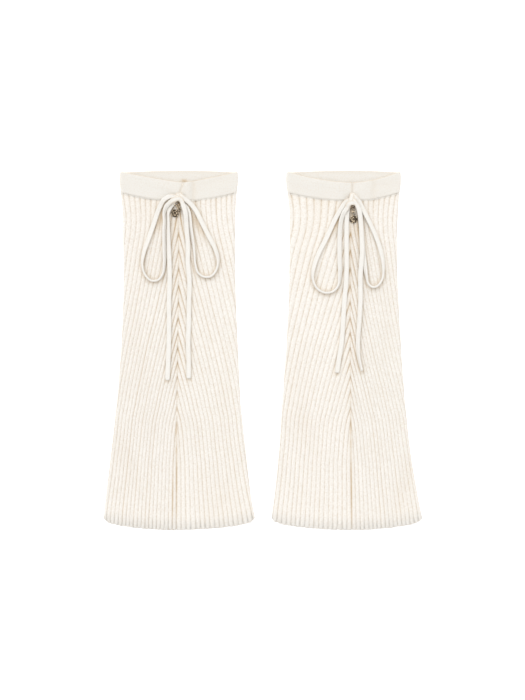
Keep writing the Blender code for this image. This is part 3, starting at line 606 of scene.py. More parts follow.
# %% Sweep a cord
def sweep_cord(name, centres, leans, fulls, side_shade=CORD_SIDE_SHADE):
    """A flat knitted tube along these centres, leaning from flat by these angles and thinned by these shares."""
    points = []
    uvs = []
    shades = []
    count = len(centres)
    run = 0.0
    for k, centre in enumerate(centres):
        ahead = (centres[min(k + 1, count - 1)] - centres[max(k - 1, 0)]).normalized()
        left = CORD_UP.cross(ahead)
        left = left.normalized() if left.length > 0.05 else Vector((1.0, 0.0, 0.0))
        upward = ahead.cross(left)
        lean = math.radians(leans[k])
        flat = left * math.cos(lean) + upward * math.sin(lean)
        normal = upward * math.cos(lean) - left * math.sin(lean)
        full = fulls[k]
        shade_now = side_shade + (CORD_SIDE_SHADE - side_shade) * smooth_step(2 * k / count - 1)
        if k:
            run += (centre - centres[k - 1]).length / MM
        for j in range(CORD_SIDES):
            turn = j / CORD_SIDES
            across, high = cord_section(turn, CORD_WIDE * full, CORD_THICK * min(1.0, full * THICK_STAYS))
            out = flat * across + normal * high
            points.append(centre + out * MM)
            shades.append(shade_now * (1 - max(out.z / max(out.length, 0.01), 0.0)) ** SIDE_SHADE_POWER)
            fold = 1 - abs(2 * turn - 1)
            uvs.append((fold * CORD_WALES, run / CORD_COURSE))
    for tip, row in ((centres[0], 0.0), (centres[-1], run / CORD_COURSE)):
        points.append(tip)
        uvs.append((0.0, row))
        shades.append(side_shade)
    piece = new_piece(name, points, tube_faces(count, CORD_SIDES), CORD_KNIT, uvs, shade=shades)
    face_outward(piece)
    return piece


print("a cord has a row of points every", CORD_STEP, "mm")

# %% [markdown]
# Each bow has two loops, which come back to the knot, and two tails with free ends.

# %% The eight cords
# Over how many millimetres a free end is drawn together and a cord thins at the knot, and how full it is there
END_DRAWN = 1.8
END_FULL = 0.72
JOIN_LENGTH = 5.0
JOIN_FULL = 0.66
Cord = namedtuple("Cord", "piece centres length leans")
cord_pieces = {}
for warmer in WARMERS:
    for part, rows in warmer.cords.items():
        is_tail = part.startswith("tail")
        route = smooth_route(rows, CORD_STEP)
        centres = [world(warmer, point.x, point.down, cord_high(point)) for point in route]
        leans = [point.lean for point in route]
        length = path_length(centres)
        fulls = []
        for k in range(len(centres)):
            from_start = path_length(centres[: k + 1]) / MM
            to_end = path_length(centres[k:]) / MM
            full = JOIN_FULL + (1 - JOIN_FULL) * smooth_step(from_start / JOIN_LENGTH)
            if is_tail:
                full *= END_FULL + (1 - END_FULL) * math.sin(math.pi / 2 * min(to_end / END_DRAWN, 1.0))
            else:
                full *= JOIN_FULL + (1 - JOIN_FULL) * smooth_step(to_end / JOIN_LENGTH)
            fulls.append(full)
        node = f"{warmer.name}_{part}"
        piece = sweep_cord(f"{node}_cord", centres, leans, fulls)
        place_piece(piece, "root", "cord_knit", node)
        cord_pieces[node] = Cord(piece, centres, length, leans)
        print(node, "length", round(length * 1000), "mm")

# %% [markdown]
# A cord keeps some light from the knit beside it, so the legs are a little darker there. A search tree of the
# cords' middles, seen from above, tells any place on a leg how far away its nearest cord is.

# %% Where the cords lie
cord_trees = {}
for warmer in WARMERS:
    middles = [point for part in warmer.cords for point in cord_pieces[f"{warmer.name}_{part}"].centres]
    cord_trees[warmer.name] = kdtree.KDTree(len(middles))
    for number, point in enumerate(middles):
        cord_trees[warmer.name].insert((point.x, point.y, 0.0), number)
    cord_trees[warmer.name].balance()
    print(warmer.name, "cord places", len(middles))


def cord_distance(warmer, x, down):
    """How far, in millimetres, this place on a leg warmer is from the middle of its nearest cord."""
    place = world(warmer, x, down, 0.0)
    return cord_trees[warmer.name].find(place)[2] / MM

# %% [markdown]
# ## The rib-knit legs
# Each leg is one tube of rib knit. New ribs start one by one at the front seam, so the older ones move outward,
# wrap round the sides and end on the back. That is the rule of the whole piece: a rib line has a number, its
# key, and a row of the mesh has eight points for each rib that it crosses. Between 38 and 345 mm from the top
# each row has one point more on each side of the seam than the row above, which gives the row of chevrons. A
# texture could only paint the ribs. As geometry they catch the light, wrap the sides and scallop the hem.

# %% Sizes of the rib knit
COURSE_DROP = 8.6
HEM_CORNER = 4.7
HEM_CORNER_LENGTH = 14.0
LEG_START = 27.4
HEM_SIDE = PAIR_LENGTH - COURSE_DROP - HEM_CORNER
NEW_RIBS = 14
STARTED = [0.0, 0.5, 2.2, 5.2, 8.6, 12.05, 13.5, 14.0]
STARTED_DOWN = [38.0, 60.0, 99.0, 159.0, 219.0, 279.0, 312.0, 345.0]
COUNT_DOWN = [27.4, 60.0, 110.0, 160.0, 210.0, 260.0, 309.0, 409.4]
SEAM_SPREAD = 0.05
BACK_KEY = 22
RIB_POINTS = 8
RIB_FULL = 0.5
FRONT_DEPTH = 1.25
SIDE_DEPTH = 1.0
BACK_DEPTH = 0.55
LEG_WALL = 1.3
BACK_WALL = 1.6
ROWS_ABOVE = 8
ROWS_BELOW = 26
TUCK = 1.6
TUCK_SINK = 0.5
CORNER_POWER = 16
SIDE_STRETCH_POWER = 6
KNIT_COURSE = 1.55
# The hem: its scallops and uneven edge, over how much of its end they come on, and how far it droops
HEM_SCALLOP = 1.5
HEM_RAGGED = 1.0
HEM_END = 6.0
HEM_DROP = 1.4
HEM_DROP_LENGTH = 11.0
# The ribs crowd beside the seam, where new ones start: how wide and how far down, how much deeper and plumper
PLAIT_HALF = 7.0
PLAIT_FADE = (190.0, 330.0)
PLAIT_LEAST = 0.12
PLAIT_DEEPER = 0.5
PLAIT_PLUMP = 0.4
# The band gathers the ribs a little, the seam dips, and the ribs wander and rise unevenly
GATHER = 0.25
GATHER_LENGTH = 8.0
SEAM_DIP = 0.55
SEAM_DIP_WIDE = 1.1
WOBBLE = 0.3
UNEVEN_RISE = 0.12


def course_down(side_down, across):
    """Where a knit course that starts at side_down lies, at this share of the way from the seam to a side."""
    corner = HEM_CORNER * smooth_step(1 - (HEM_SIDE - side_down) / HEM_CORNER_LENGTH)
    return side_down + COURSE_DROP * (1 - across**2) + corner * (1 - across**CORNER_POWER)


def rib_rise(key):
    """0 in the groove between two ribs and 1 on a rib's crest."""
    return abs(math.sin(math.pi * key)) ** RIB_FULL


# %% [markdown]
# Soft cloth never lies quite flat. The folds are listed one by one, front and back: each one is a soft trough or
# ridge with its own place, direction, length, width and height. A trough is also painted a little darker, as
# less light reaches it, and painted shade darkens the cloth below the band, along the seam, beside the cords and
# at the hem.

# %% Folds of the cloth
Fold = namedtuple("Fold", "x down turn long wide rise")
FRONT_FOLDS = {
    "left": table(
        Fold,
        (20.5, 38.0, 8.0, 20.0, 3.0, -1.2), (-40.0, 46.0, -18.0, 34.0, 12.0, -0.6),
        (-56.0, 350.0, 22.0, 50.0, 12.0, -0.5), (-30.0, 372.0, 10.0, 48.0, 11.0, 0.5),
        (46.0, 392.0, -12.0, 40.0, 15.0, -0.6), (38.0, 170.0, -4.0, 60.0, 12.0, 0.4),
        (54.0, 250.0, -7.0, 55.0, 9.0, -0.4), (-48.0, 190.0, 5.0, 60.0, 10.0, -0.4),
        (-1.0, 330.0, 0.0, 90.0, 5.0, -0.5),
    ),
    "right": table(
        Fold,
        (26.0, 40.0, -14.0, 20.0, 4.0, -0.6), (-40.0, 52.0, -10.0, 34.0, 12.0, -0.5),
        (-22.0, 330.0, 12.0, 46.0, 13.0, 0.7), (-52.0, 300.0, 16.0, 60.0, 14.0, -0.5),
        (66.0, 362.0, -18.0, 56.0, 9.0, -0.8), (30.0, 300.0, -6.0, 60.0, 13.0, 0.4),
        (44.0, 180.0, -5.0, 60.0, 9.0, -0.35), (0.0, 345.0, 0.0, 80.0, 5.0, -0.5),
    ),
}
BACK_FOLDS = {
    "left": table(
        Fold,
        (-30.0, 120.0, 8.0, 70.0, 5.0, 0.5), (24.0, 220.0, -6.0, 80.0, 6.0, 0.55),
        (-20.0, 320.0, 12.0, 60.0, 6.0, 0.5), (50.0, 350.0, -14.0, 50.0, 5.0, 0.45),
    ),
    "right": table(
        Fold,
        (26.0, 110.0, -7.0, 70.0, 6.0, 0.5), (-28.0, 210.0, 9.0, 80.0, 5.0, 0.55),
        (22.0, 310.0, -10.0, 60.0, 6.0, 0.5), (-56.0, 352.0, 14.0, 50.0, 5.0, 0.45),
    ),
}
# Soft hollows that less light reaches: between the loops' roots, and the dark spots and lines by the seam
HOLLOWS = {
    "left": table(
        Fold,
        (-22.0, 58.0, -24.0, 17.0, 4.0, 0.5), (21.0, 62.0, 28.0, 20.0, 3.6, 0.45),
        (-3.4, 62.0, 0.0, 16.0, 6.0, 0.16), (-2.0, 110.0, 0.0, 36.0, 8.0, 0.08),
        (-3.0, 304.8, 0.0, 6.0, 0.9, 0.5), (-3.0, 327.0, 0.0, 5.0, 0.9, 0.5),
        (-7.4, 383.0, 0.0, 24.0, 0.9, 0.5), (-2.9, 362.0, 0.0, 28.0, 0.9, 0.4),
    ),
    "right": table(
        Fold,
        (-14.6, 58.0, -24.0, 20.0, 3.0, 0.6), (8.2, 68.0, 8.0, 14.0, 1.6, 0.45),
        (14.6, 96.0, 6.0, 26.0, 4.0, 0.4), (2.0, 62.0, 0.0, 14.0, 5.0, 0.14),
        (0.0, 110.0, 0.0, 40.0, 7.0, 0.08), (0.2, 300.0, 0.0, 8.0, 0.9, 0.5), (0.3, 322.0, 0.0, 5.0, 0.9, 0.5),
        (0.9, 372.0, 0.0, 34.0, 0.9, 0.45),
    ),
}


def fold_share(fold, x, down):
    """How much of a fold reaches this place, from 0 to 1."""
    turn = math.radians(fold.turn)
    along = (down - fold.down) * math.cos(turn) + (x - fold.x) * math.sin(turn)
    aside = (x - fold.x) * math.cos(turn) - (down - fold.down) * math.sin(turn)
    far = (along / fold.long) ** 2 + (aside / fold.wide) ** 2
    return math.exp(-far) if far < 9 else 0.0


def fold_lift(folds, x, down):
    """The height that these folds together give a place."""
    return sum(fold.rise * fold_share(fold, x, down) for fold in folds)


print("folds:", {name: len(FRONT_FOLDS[name]) + len(BACK_FOLDS[name]) for name in FRONT_FOLDS})

# %% Shade of the leg
CORDS_END = 262.0
UNDER_BAND_SHADE = 0.2
UNDER_BAND_LENGTH = 7.0
TROUGH_SHADE = 0.1
PLAIT_SHADE = 0.68
SEAM_SHADE = 0.5
SEAM_SHADE_WIDE = 0.7
CORD_SHADE = 0.3
CORD_SHADE_WIDE = 2.0
RIB_TONE = 0.35
# Painted grey shade at the hem: how much on the crests, how much more in the grooves, and over how long an end
# it comes on
HEM_SHADE = 0.22
HEM_SHADE_GROOVE = 0.7
HEM_SHADE_LENGTH = 13.0


def plait_share(aside, side_down):
    """How strongly the ribs crowd together beside the seam, where each new one starts."""
    fade = 1 - smooth_step((side_down - PLAIT_FADE[0]) / (PLAIT_FADE[1] - PLAIT_FADE[0]))
    return math.exp(-((aside / PLAIT_HALF) ** 2)) * (PLAIT_LEAST + (1 - PLAIT_LEAST) * fade)


def front_shade(warmer, x, down, side_down, groove):
    """Darkening of the leg's front: below the band, in troughs, and by the seam and the cords."""
    aside = abs(x - outline_at(warmer.outline, side_down)[1])
    below_band = math.exp(-max(side_down - LEG_START, 0.0) / UNDER_BAND_LENGTH)
    under_band = UNDER_BAND_SHADE * below_band * (0.3 + 1.2 * groove)
    trough = max(-fold_lift(FRONT_FOLDS[warmer.name], x, down), 0.0) * TROUGH_SHADE
    patchy = 0.85 + 0.9 * noise.noise(Vector((x * 0.3, down * 0.1, warmer.middle)))
    plait = plait_share(aside, side_down) * PLAIT_SHADE * groove**1.5 * patchy
    uneven = 0.5 + 0.5 * noise.noise(Vector((0.0, down * 0.2, warmer.middle)))
    seam_line = SEAM_SHADE * math.exp(-((aside / SEAM_SHADE_WIDE) ** 2)) * uneven
    beside_cord = 0.0
    if down < CORDS_END:
        far = max(cord_distance(warmer, x, down) - CORD_SHADE_WIDE, 0.0)
        beside_cord = CORD_SHADE * math.exp(-((far / CORD_SHADE_WIDE) ** 2))
    hollow = fold_lift(HOLLOWS[warmer.name], x, down)
    return min(under_band + trough + plait + seam_line + beside_cord + hollow, 1.0)


def hem_painted_shade(side, side_down, key):
    """Painted grey shade at the hem's edge, in uneven dashes that are deepest in the grooves."""
    near = smooth_step((side_down - HEM_SIDE + HEM_SHADE_LENGTH) / HEM_SHADE_LENGTH)
    if near == 0:
        return 0.0
    dash = 0.8 + 1.2 * noise.noise(Vector((key * 2.3, side_down * 0.35, side * 4.0)))
    return min(max(near * dash * (HEM_SHADE + HEM_SHADE_GROOVE * (1 - rib_rise(key))), 0.0), 1.0)


print("cords shade the legs down to", CORDS_END, "mm")

# %% [markdown]
# Each row of the leg's mesh follows a course of the knit, which hangs lower at the seam than at the sides. A
# point of it is known by its side and its key. From these come its way round the flat tube, from the seam over
# the front, round the side and along the back, and then its height, with rib, folds and hem, and its shade.

# %% Rows of the leg
def leg_row_places():
    """The leg's rows as (side_down, started): how far down at the sides, and how many ribs have begun."""
    first = STARTED_DOWN[0] - COURSE_DROP
    rows = [(LEG_START - TUCK, 0), (LEG_START - TUCK / 2, 0)]
    rows += [(LEG_START + (first - LEG_START) * k / ROWS_ABOVE, 0) for k in range(ROWS_ABOVE)]
    counts = [k / RIB_POINTS for k in range(NEW_RIBS * RIB_POINTS + 1)]
    rows += [(curve_value(STARTED, STARTED_DOWN, count) - COURSE_DROP, count) for count in counts]
    last = rows[-1][0]
    rest = HEM_SIDE - 1.0 - last
    rows += [(last + rest * k / ROWS_BELOW, NEW_RIBS) for k in range(1, ROWS_BELOW + 1)]
    return rows


print("rows of the leg:", len(leg_row_places()))

# %% A place on the leg
# A point's turn is 0 at the seam, 1 at the side and 2 at the back's middle. The round side takes a little of it.
FLAT_TURN = 0.98
ROUND_TURN = 0.04
SIDE_SHADE = 0.06


def leg_place(warmer, side, side_down, started, key, sink=0.0):
    """A point of the leg's outer surface: its place, its turn and its shade."""
    seam, half = seam_and_half(warmer, side, side_down)
    shown = curve_value(COUNT_DOWN, warmer.dense_left if side < 0 else warmer.dense_right, side_down)
    high = leg_high(side_down)
    radius = high / 2
    reach = half + radius * (math.pi / 2 - 1)
    place = (key + started) / shown
    if place <= 1:
        across = place + SEAM_SPREAD * place * (1 - place)
        run = half * across + (reach - half) * across**SIDE_STRETCH_POWER
    else:
        run = reach + reach * (place - 1) * shown / (BACK_KEY - shown + started)
    flat = half - radius
    arc = math.pi * radius
    if run <= flat:
        angle = 0.0
        x = run
    elif run <= flat + arc:
        angle = (run - flat) / radius
        x = flat
    else:
        angle = math.pi
        x = max(flat - (run - flat - arc), 0.0)
    front = smooth_step((math.cos(angle) + 1) / 2)
    depth = BACK_DEPTH + (FRONT_DEPTH - BACK_DEPTH) * front
    depth += (SIDE_DEPTH - depth) * math.sin(angle)
    plait = plait_share(x, side_down) if angle == 0 else 0.0
    depth *= 1 + PLAIT_DEEPER * plait
    rise = rib_rise(key)
    gather = 1 - GATHER * math.exp(-max(side_down - LEG_START, 0.0) / GATHER_LENGTH)
    out = radius - depth * (1 - rise) * gather - sink + PLAIT_PLUMP * plait * rise
    share = min((x + radius * math.sin(angle)) / half, 1.0)
    down = course_down(side_down, share)
    ragged = noise.noise(Vector((key * 1.7, side_down * 0.05, side * 3.0 + warmer.middle)))
    if side_down > HEM_SIDE - HEM_END:
        end = smooth_step((side_down - HEM_SIDE + HEM_END) / HEM_END)
        down += end * (HEM_SCALLOP * (rise - 1) + HEM_RAGGED * ragged)
    wander = noise.noise(Vector((key * 0.6, side_down * 0.02, side * 5.0 + warmer.middle)))
    loose = min(6 * share, 6 * (1 - share), 1.0) if angle == 0 else 0.0
    signed = side * (x + out * math.sin(angle) + WOBBLE * wander * loose)
    height = radius + out * math.cos(angle)
    if angle < math.pi / 2:
        lift = fold_lift(FRONT_FOLDS[warmer.name], seam + signed, down)
        seam_dip = SEAM_DIP * math.exp(-((signed / SEAM_DIP_WIDE) ** 2))
        height += (lift - seam_dip + UNEVEN_RISE * ragged) * math.cos(angle)
        near_hem = smooth_step((side_down - HEM_SIDE + HEM_DROP_LENGTH) / HEM_DROP_LENGTH)
        height -= HEM_DROP * near_hem * math.cos(angle)
        tone = max(noise.noise(Vector((round(key) * 1.7, side * 5.3, warmer.middle))), 0.0)
        shade = front_shade(warmer, seam + signed, down, side_down, 1 - rise) + RIB_TONE * tone * (1 - rise)
        shade = min(shade, 1.0) * math.cos(angle)
    else:
        lift = fold_lift(BACK_FOLDS[warmer.name], seam + signed, down)
        height += max(lift, 0.0) * -math.cos(angle)
        shade = SIDE_SHADE * abs(math.sin(angle))
    if angle == 0:
        turn = x / flat * FLAT_TURN
    elif angle == math.pi:
        turn = 2 - x / flat * FLAT_TURN
    else:
        turn = FLAT_TURN + angle / math.pi * ROUND_TURN
    return world(warmer, seam + signed, down, max(height, 0.0)), turn, shade


print("a rib has", RIB_POINTS, "points across it")

# %% [markdown]
# The mesh is zipped together row by row. Two rows that have the same keys get plain quads cut in two. Where the
# lower row has one key more, at the seam, one triangle takes it up. The inside of the tube is plain and coarse,
# and the two surfaces are zipped at the top and at the hem, so the leg is one closed wall.

# %% Zip two rows
def zip_rows(faces, first, second):
    """Triangles between two rows of (order, point number). Points with the same order are joined."""
    i = 0
    j = 0
    while i < len(first) - 1 or j < len(second) - 1:
        first_next = first[i + 1][0] if i < len(first) - 1 else math.inf
        second_next = second[j + 1][0] if j < len(second) - 1 else math.inf
        a = first[i][1]
        b = second[j][1]
        if abs(first_next - second_next) < 1e-6:
            corners = [(a, b, second[j + 1][1]), (a, second[j + 1][1], first[i + 1][1])]
            i += 1
            j += 1
        elif first_next < second_next:
            corners = [(a, b, first[i + 1][1])]
            i += 1
        else:
            corners = [(a, b, second[j + 1][1])]
            j += 1
        faces.extend(corner for corner in corners if len(set(corner)) == 3)


zipped = []
zip_rows(zipped, [(0, 0), (1, 1)], [(-1, 2), (0, 3), (1, 4)])
print("a row of 2 points and one of 3 make", len(zipped), "triangles")

# %% The inside of the leg
PLAIN_COLUMNS = 10
# How far in from the side the inside's flat part ends and its outermost point lies, and the least room inside
INSIDE_FLAT_END = 3.6
INSIDE_SIDE = 2.3
INSIDE_ROOM = 0.4
BACK_LIFT_SHARE = 0.6


def inner_places(warmer, side, side_down):
    """The leg's plain inside on one side, from under the seam round to the middle of the back."""
    seam, half = seam_and_half(warmer, side, side_down)
    roof = leg_high(side_down) - FRONT_DEPTH - LEG_WALL
    turns = [(1 - INSIDE_FLAT_END / half) * k / PLAIN_COLUMNS for k in range(PLAIN_COLUMNS + 1)]
    rows = [(turn, turn) for turn in turns] + [(1.0, 1 - INSIDE_SIDE / half)]
    rows += [(2 - turn, turn) for turn in reversed(turns)]
    places = []
    for turn, across in rows:
        x = seam + side * half * across
        down = course_down(side_down, across)
        if turn < 1:
            height = max(roof + fold_lift(FRONT_FOLDS[warmer.name], x, down), BACK_WALL + INSIDE_ROOM)
        elif turn > 1:
            height = BACK_WALL + max(fold_lift(BACK_FOLDS[warmer.name], x, down), 0.0) * BACK_LIFT_SHARE
        else:
            height = (roof + BACK_WALL) / 2
        places.append((turn, world(warmer, x, down, height), across))
    return places


print("inside points on one side:", len(inner_places(WARMERS[0], 1, HEM_SIDE)))

# %% A whole leg
INSIDE_EVERY = 6
INSIDE_SHADE = 0.15
INSIDE_WALES = 18
# Rows that round the hem's edge: how far below the last row they lie, and how far in
HEM_ROUND = ((0.45, 0.25), (0.85, 0.75))


def picked(row, column):
    """A row's (order, point number) pairs, where the order is its keys (column 0) or its turns (column 1)."""
    return [(entry[column], entry[2]) for entry in row]


def make_leg(warmer):
    points = []
    uvs = []
    shades = []
    hem_shades = []
    faces = []

    def add_row(entries):
        """entries are (order, turn, place, uv, shade, dim); gives back (order, turn, point number)."""
        made = []
        for order, turn, place, uv, shade, dim in entries:
            points.append(place)
            uvs.append(uv)
            shades.append(shade)
            hem_shades.append(dim)
            made.append((order, turn, len(points) - 1))
        return made

    def outer_row(side, side_down, started, course, sink=0.0, extra=0.0, shared=None):
        count = round((BACK_KEY + started) * RIB_POINTS)
        entries = []
        for k in range(count + 1):
            key = -started + k / RIB_POINTS
            place, turn, shade = leg_place(warmer, side, side_down, started, key, sink)
            place.y -= extra * MM
            entries.append((key, turn, place, (key, course), shade, hem_painted_shade(side, side_down, key)))
        if shared is None:
            return add_row(entries)
        inside = add_row(entries[1:-1])
        first, last = shared[0], shared[-1]
        return [(entries[0][0], 0.0, first[2]), *inside, (entries[-1][0], 2.0, last[2])]

    places = leg_row_places()
    outer = []
    for number, (side_down, started) in enumerate(places):
        sink = TUCK_SINK * (1 - number / 2) if number < 2 else 0.0
        outer.append((side_down, started, sink, 0.0))
    outer += [(*places[-1], sink, extra) for extra, sink in HEM_ROUND]
    made = []
    for side_down, started, sink, extra in outer:
        course = (side_down + extra) / KNIT_COURSE
        right = outer_row(1, side_down, started, course, sink, extra)
        left = outer_row(-1, side_down, started, course, sink, extra, shared=right)
        made.append((left, right))
    inside = []
    for side_down, started in places[::INSIDE_EVERY] + [places[-1]]:
        rows = []
        for side in (1, -1):
            course = side_down / KNIT_COURSE
            entries = [
                (turn, turn, place, (across * INSIDE_WALES, course), INSIDE_SHADE, 0.0)
                for turn, place, across in inner_places(warmer, side, side_down)
            ]
            if side > 0:
                rows.append(add_row(entries))
            else:
                middle = add_row(entries[1:-1])
                rows.append([(0.0, 0.0, rows[0][0][2]), *middle, (2.0, 2.0, rows[0][-1][2])])
        inside.append((rows[1], rows[0]))
    for rows, column in ((made, 0), (inside, 1)):
        for upper, lower in zip(rows, rows[1:]):
            for half in (0, 1):
                zip_rows(faces, picked(upper[half], column), picked(lower[half], column))
    for end in (0, -1):
        for half in (0, 1):
            zip_rows(faces, picked(made[end][half], 1), picked(inside[end][half], 1))
    piece = new_piece(f"{warmer.name}_leg_knit", points, faces, RIB_KNIT, uvs, shade=shades, dim=hem_shades)
    return piece, face_outward(piece)


print("rows of the leg's inside:", len(leg_row_places()[::INSIDE_EVERY]) + 1)

# %% Make the legs
for warmer in WARMERS:
    piece, open_edges = make_leg(warmer)
    place_piece(piece, "root", "rib_knit", f"{warmer.name}_leg")
    print("open edges:", open_edges)

# %% [markdown]
# ## The folded bands
# The band is a strip of plain knit folded double, which makes its top edge a soft round fold. Its ends meet at
# the front seam and part a little at the foot, where the drawstring comes out. It starts at the seam, goes round
# the left side and the back and ends at the seam again, as one closed wall. The front hangs lower in the middle,
# so the inside of the back shows above it.

# %% Sizes of the band
BAND_HIGH = 6.5
BAND_WALL = 3.0
BAND_SIDE_TOP = 2.1
BAND_DIP = 12.0
BAND_SIDE_FOOT = LEG_START - GAP
BAND_SLIT = 0.02
BAND_SLIT_FOOT = 3.2
SLIT_FLARE_START = 24.0
BAND_WALE = 1.9
BAND_COURSE = 1.5
# How far down the wall's round top edge and foot reach
RIM_ROUND = 1.5
FOOT_ROUND = 0.9
# The two ends are thinner beside the slit between them
SLIT_ROUND = 1.3
SLIT_THINNER = 0.42
BAND_UNEVEN = 0.1
BAND_FOLDS = {
    "left": table(
        Fold,
        (9.5, 17.0, 2.0, 14.0, 4.2, 0.5), (18.6, 22.0, 4.0, 16.0, 4.0, -0.5),
        (-14.0, 22.0, 60.0, 14.0, 4.0, 0.35), (-36.0, 15.0, 80.0, 24.0, 4.0, 0.3),
        (40.0, 14.0, -70.0, 24.0, 5.0, -0.3), (56.0, 21.0, 70.0, 12.0, 4.0, 0.3),
    ),
    "right": table(
        Fold,
        (-11.0, 20.0, 20.0, 12.0, 5.0, 0.4), (12.0, 22.0, -20.0, 12.0, 5.0, 0.4),
        (27.0, 24.0, -10.0, 12.0, 3.0, -0.4), (-40.0, 16.0, 84.0, 26.0, 4.0, 0.3),
        (40.0, 16.0, -82.0, 20.0, 4.0, -0.3), (-60.0, 20.0, 70.0, 12.0, 4.0, -0.25),
    ),
}
# Painted shade: a darker spot on the back's inside where the front's edge is lowest
BAND_HOLLOWS = {
    "left": [Fold(6.6, 13.6, 82.0, 3.6, 2.2, 1.0)],
    "right": [Fold(2.4, 14.4, 78.0, 4.0, 1.0, 0.5)],
}
print("band folds:", {name: len(folds) for name, folds in BAND_FOLDS.items()})

# %% [markdown]
# The band's section is a closed wall: a round top edge, the inner face, a small round foot and the outer face.
# It is swept from the slit round the side and along the back. The dip, the slit and the folds shape it on its
# way.

# %% Section of the band
# Shade at the top edge, all round and more in front, by the slit, in troughs, inside the front and at the foot
RIM_SHADE = 0.14
RIM_SHADE_FRONT = 0.2
RIM_SHARPNESS = 4.0
SLIT_SHADE = 0.34
BAND_TROUGH_SHADE = 0.12
BAND_INSIDE_SHADE = 0.1
FOOT_SHADE = 0.04


def band_lift(warmer, x, down):
    """How far the band's front stands proud here, by its puffs and its folds."""
    puffs = sum(puff.rise * math.exp(-(((x - puff.x) / puff.wide) ** 2)) for puff in warmer.puffs)
    return puffs + fold_lift(BAND_FOLDS[warmer.name], x, down)


def band_profile():
    """(from, offset, share) round the wall: down from the top or up from the foot, and how far out it lies."""
    top = [("top", RIM_ROUND * (1 - math.sin(a)), math.cos(a)) for a in (math.pi * k / 8 for k in range(9))]
    inner = [("span", k / 9, -1.0) for k in range(1, 9)]
    foot = [("foot", FOOT_ROUND * (1 - math.sin(a)), -math.cos(a)) for a in (math.pi * k / 6 for k in range(7))]
    outer = [("span", 1 - k / 13, 1.0) for k in range(1, 13)]
    return top + inner + foot + outer


def band_section(warmer, side, across, swing):
    """One closed section of the band's wall: swing is 0 on the front, 180 on the back."""
    turn = math.radians(swing)
    outward = math.sin(turn)
    upward = math.cos(turn)
    core = (BAND_HIGH - BAND_WALL) / 2
    front = (1 + upward) / 2
    top = (BAND_SIDE_TOP + BAND_DIP * (1 - abs(across) ** warmer.dip_power)) * front
    top += BAND_SIDE_TOP * across**2 * (1 - front)
    foot = course_down(BAND_SIDE_FOOT, across)
    section = []
    for start, offset, share in band_profile():
        between = top + RIM_ROUND + (foot - top - (RIM_ROUND + FOOT_ROUND)) * offset
        down = {"top": top + offset, "foot": foot - offset, "span": between}[start]
        seam, half = seam_and_half(warmer, side, down)
        half -= BAND_HIGH / 2
        flare = smooth_step((down - SLIT_FLARE_START) / (BAND_SIDE_FOOT + COURSE_DROP - SLIT_FLARE_START))
        slit = (BAND_SLIT + (BAND_SLIT_FOOT - BAND_SLIT) * flare) / 2 * front
        at = max(half * across, slit)
        x = seam + side * (at + (core + share * BAND_WALL / 2) * outward)
        near_slit = math.exp(-(((at - slit) / SLIT_ROUND) ** 2)) * front
        lift = band_lift(warmer, x, down) * front
        inward = 1 - SLIT_THINNER * near_slit
        ragged = BAND_UNEVEN * noise.noise(Vector((x * 0.25, down * 0.25, warmer.middle)))
        height = BAND_HIGH / 2 + (core + share * BAND_WALL / 2 * inward) * upward
        height += (lift * smooth_step(upward) + ragged * front) * (0.5 + share / 2)
        shade = BAND_TROUGH_SHADE * max(-lift, 0.0) + SLIT_SHADE * near_slit
        shade += BAND_INSIDE_SHADE if share < 0 and front > 0.5 else 0.0
        if start == "top":
            shade += (RIM_SHADE + RIM_SHADE_FRONT * front) * min(RIM_SHARPNESS * (1 - share), 1.0)
        shade += FOOT_SHADE * math.exp(-(((foot - down) / RIM_ROUND) ** 2))
        if front < 0.5 and share < 0:
            shade += fold_lift(BAND_HOLLOWS[warmer.name], x, down)
        section.append((world(warmer, x, down, max(height, 0.0)), at / BAND_WALE, down / BAND_COURSE, shade))
    return section


print("band section:", len(band_profile()), "points")

# %% A whole band
# Steps from the slit to the side, close together at the slit, then round the side and along the back
BY_SLIT = [0.0, 0.006, 0.012, 0.02, 0.03]
FRONT_STEPS = 44
SIDE_STEPS = 14
BACK_STEPS = 24
END_SHADE = 0.3


def make_band(warmer):
    front = BY_SLIT + [BY_SLIT[-1] + 0.95 * k / FRONT_STEPS for k in range(1, FRONT_STEPS + 1)] + [1.0]
    steps = [(across, 0.0) for across in front]
    steps += [(1.0, 180.0 * k / SIDE_STEPS) for k in range(1, SIDE_STEPS)]
    steps += [(1 - k / BACK_STEPS, 180.0) for k in range(BACK_STEPS)]
    sections = [(-1, *step) for step in steps] + [(-1, 0.0, 180.0)] + [(1, *step) for step in reversed(steps)]
    points = []
    uvs = []
    shades = []
    sides = len(band_profile())
    for side, across, swing in sections:
        for place, wale, course, shade in band_section(warmer, side, across, swing):
            points.append(place)
            uvs.append((wale, course))
            shades.append(shade)
    for first in (0, len(points) - sides):
        middle = sum((points[first + k] for k in range(sides)), Vector()) / sides
        points.append(middle)
        uvs.append(uvs[first])
        shades.append(END_SHADE)
    faces = tube_faces(len(sections), sides)
    piece = new_piece(f"{warmer.name}_band_knit", points, faces, PLAIN_KNIT, uvs, shade=shades)
    return piece, face_outward(piece)


print("steps in front, at the side and behind:", FRONT_STEPS, SIDE_STEPS, BACK_STEPS)

# %% Make the bands
for warmer in WARMERS:
    piece, open_edges = make_band(warmer)
    place_piece(piece, "root", "plain_knit", f"{warmer.name}_band")
    print("open edges:", open_edges)

# %% [markdown]
# ## Stitches that repeat along a line
# The band is linked to the leg by a row of chain stitches, and its ends are sewn together down the front. A
# hundred like stitches along a path are work for Geometry Nodes: the tree puts a small V of two yarn legs at
# even spaces on the path and turns each along it and outward. Its inputs are the stitch's sizes, so one tree
# serves every row.

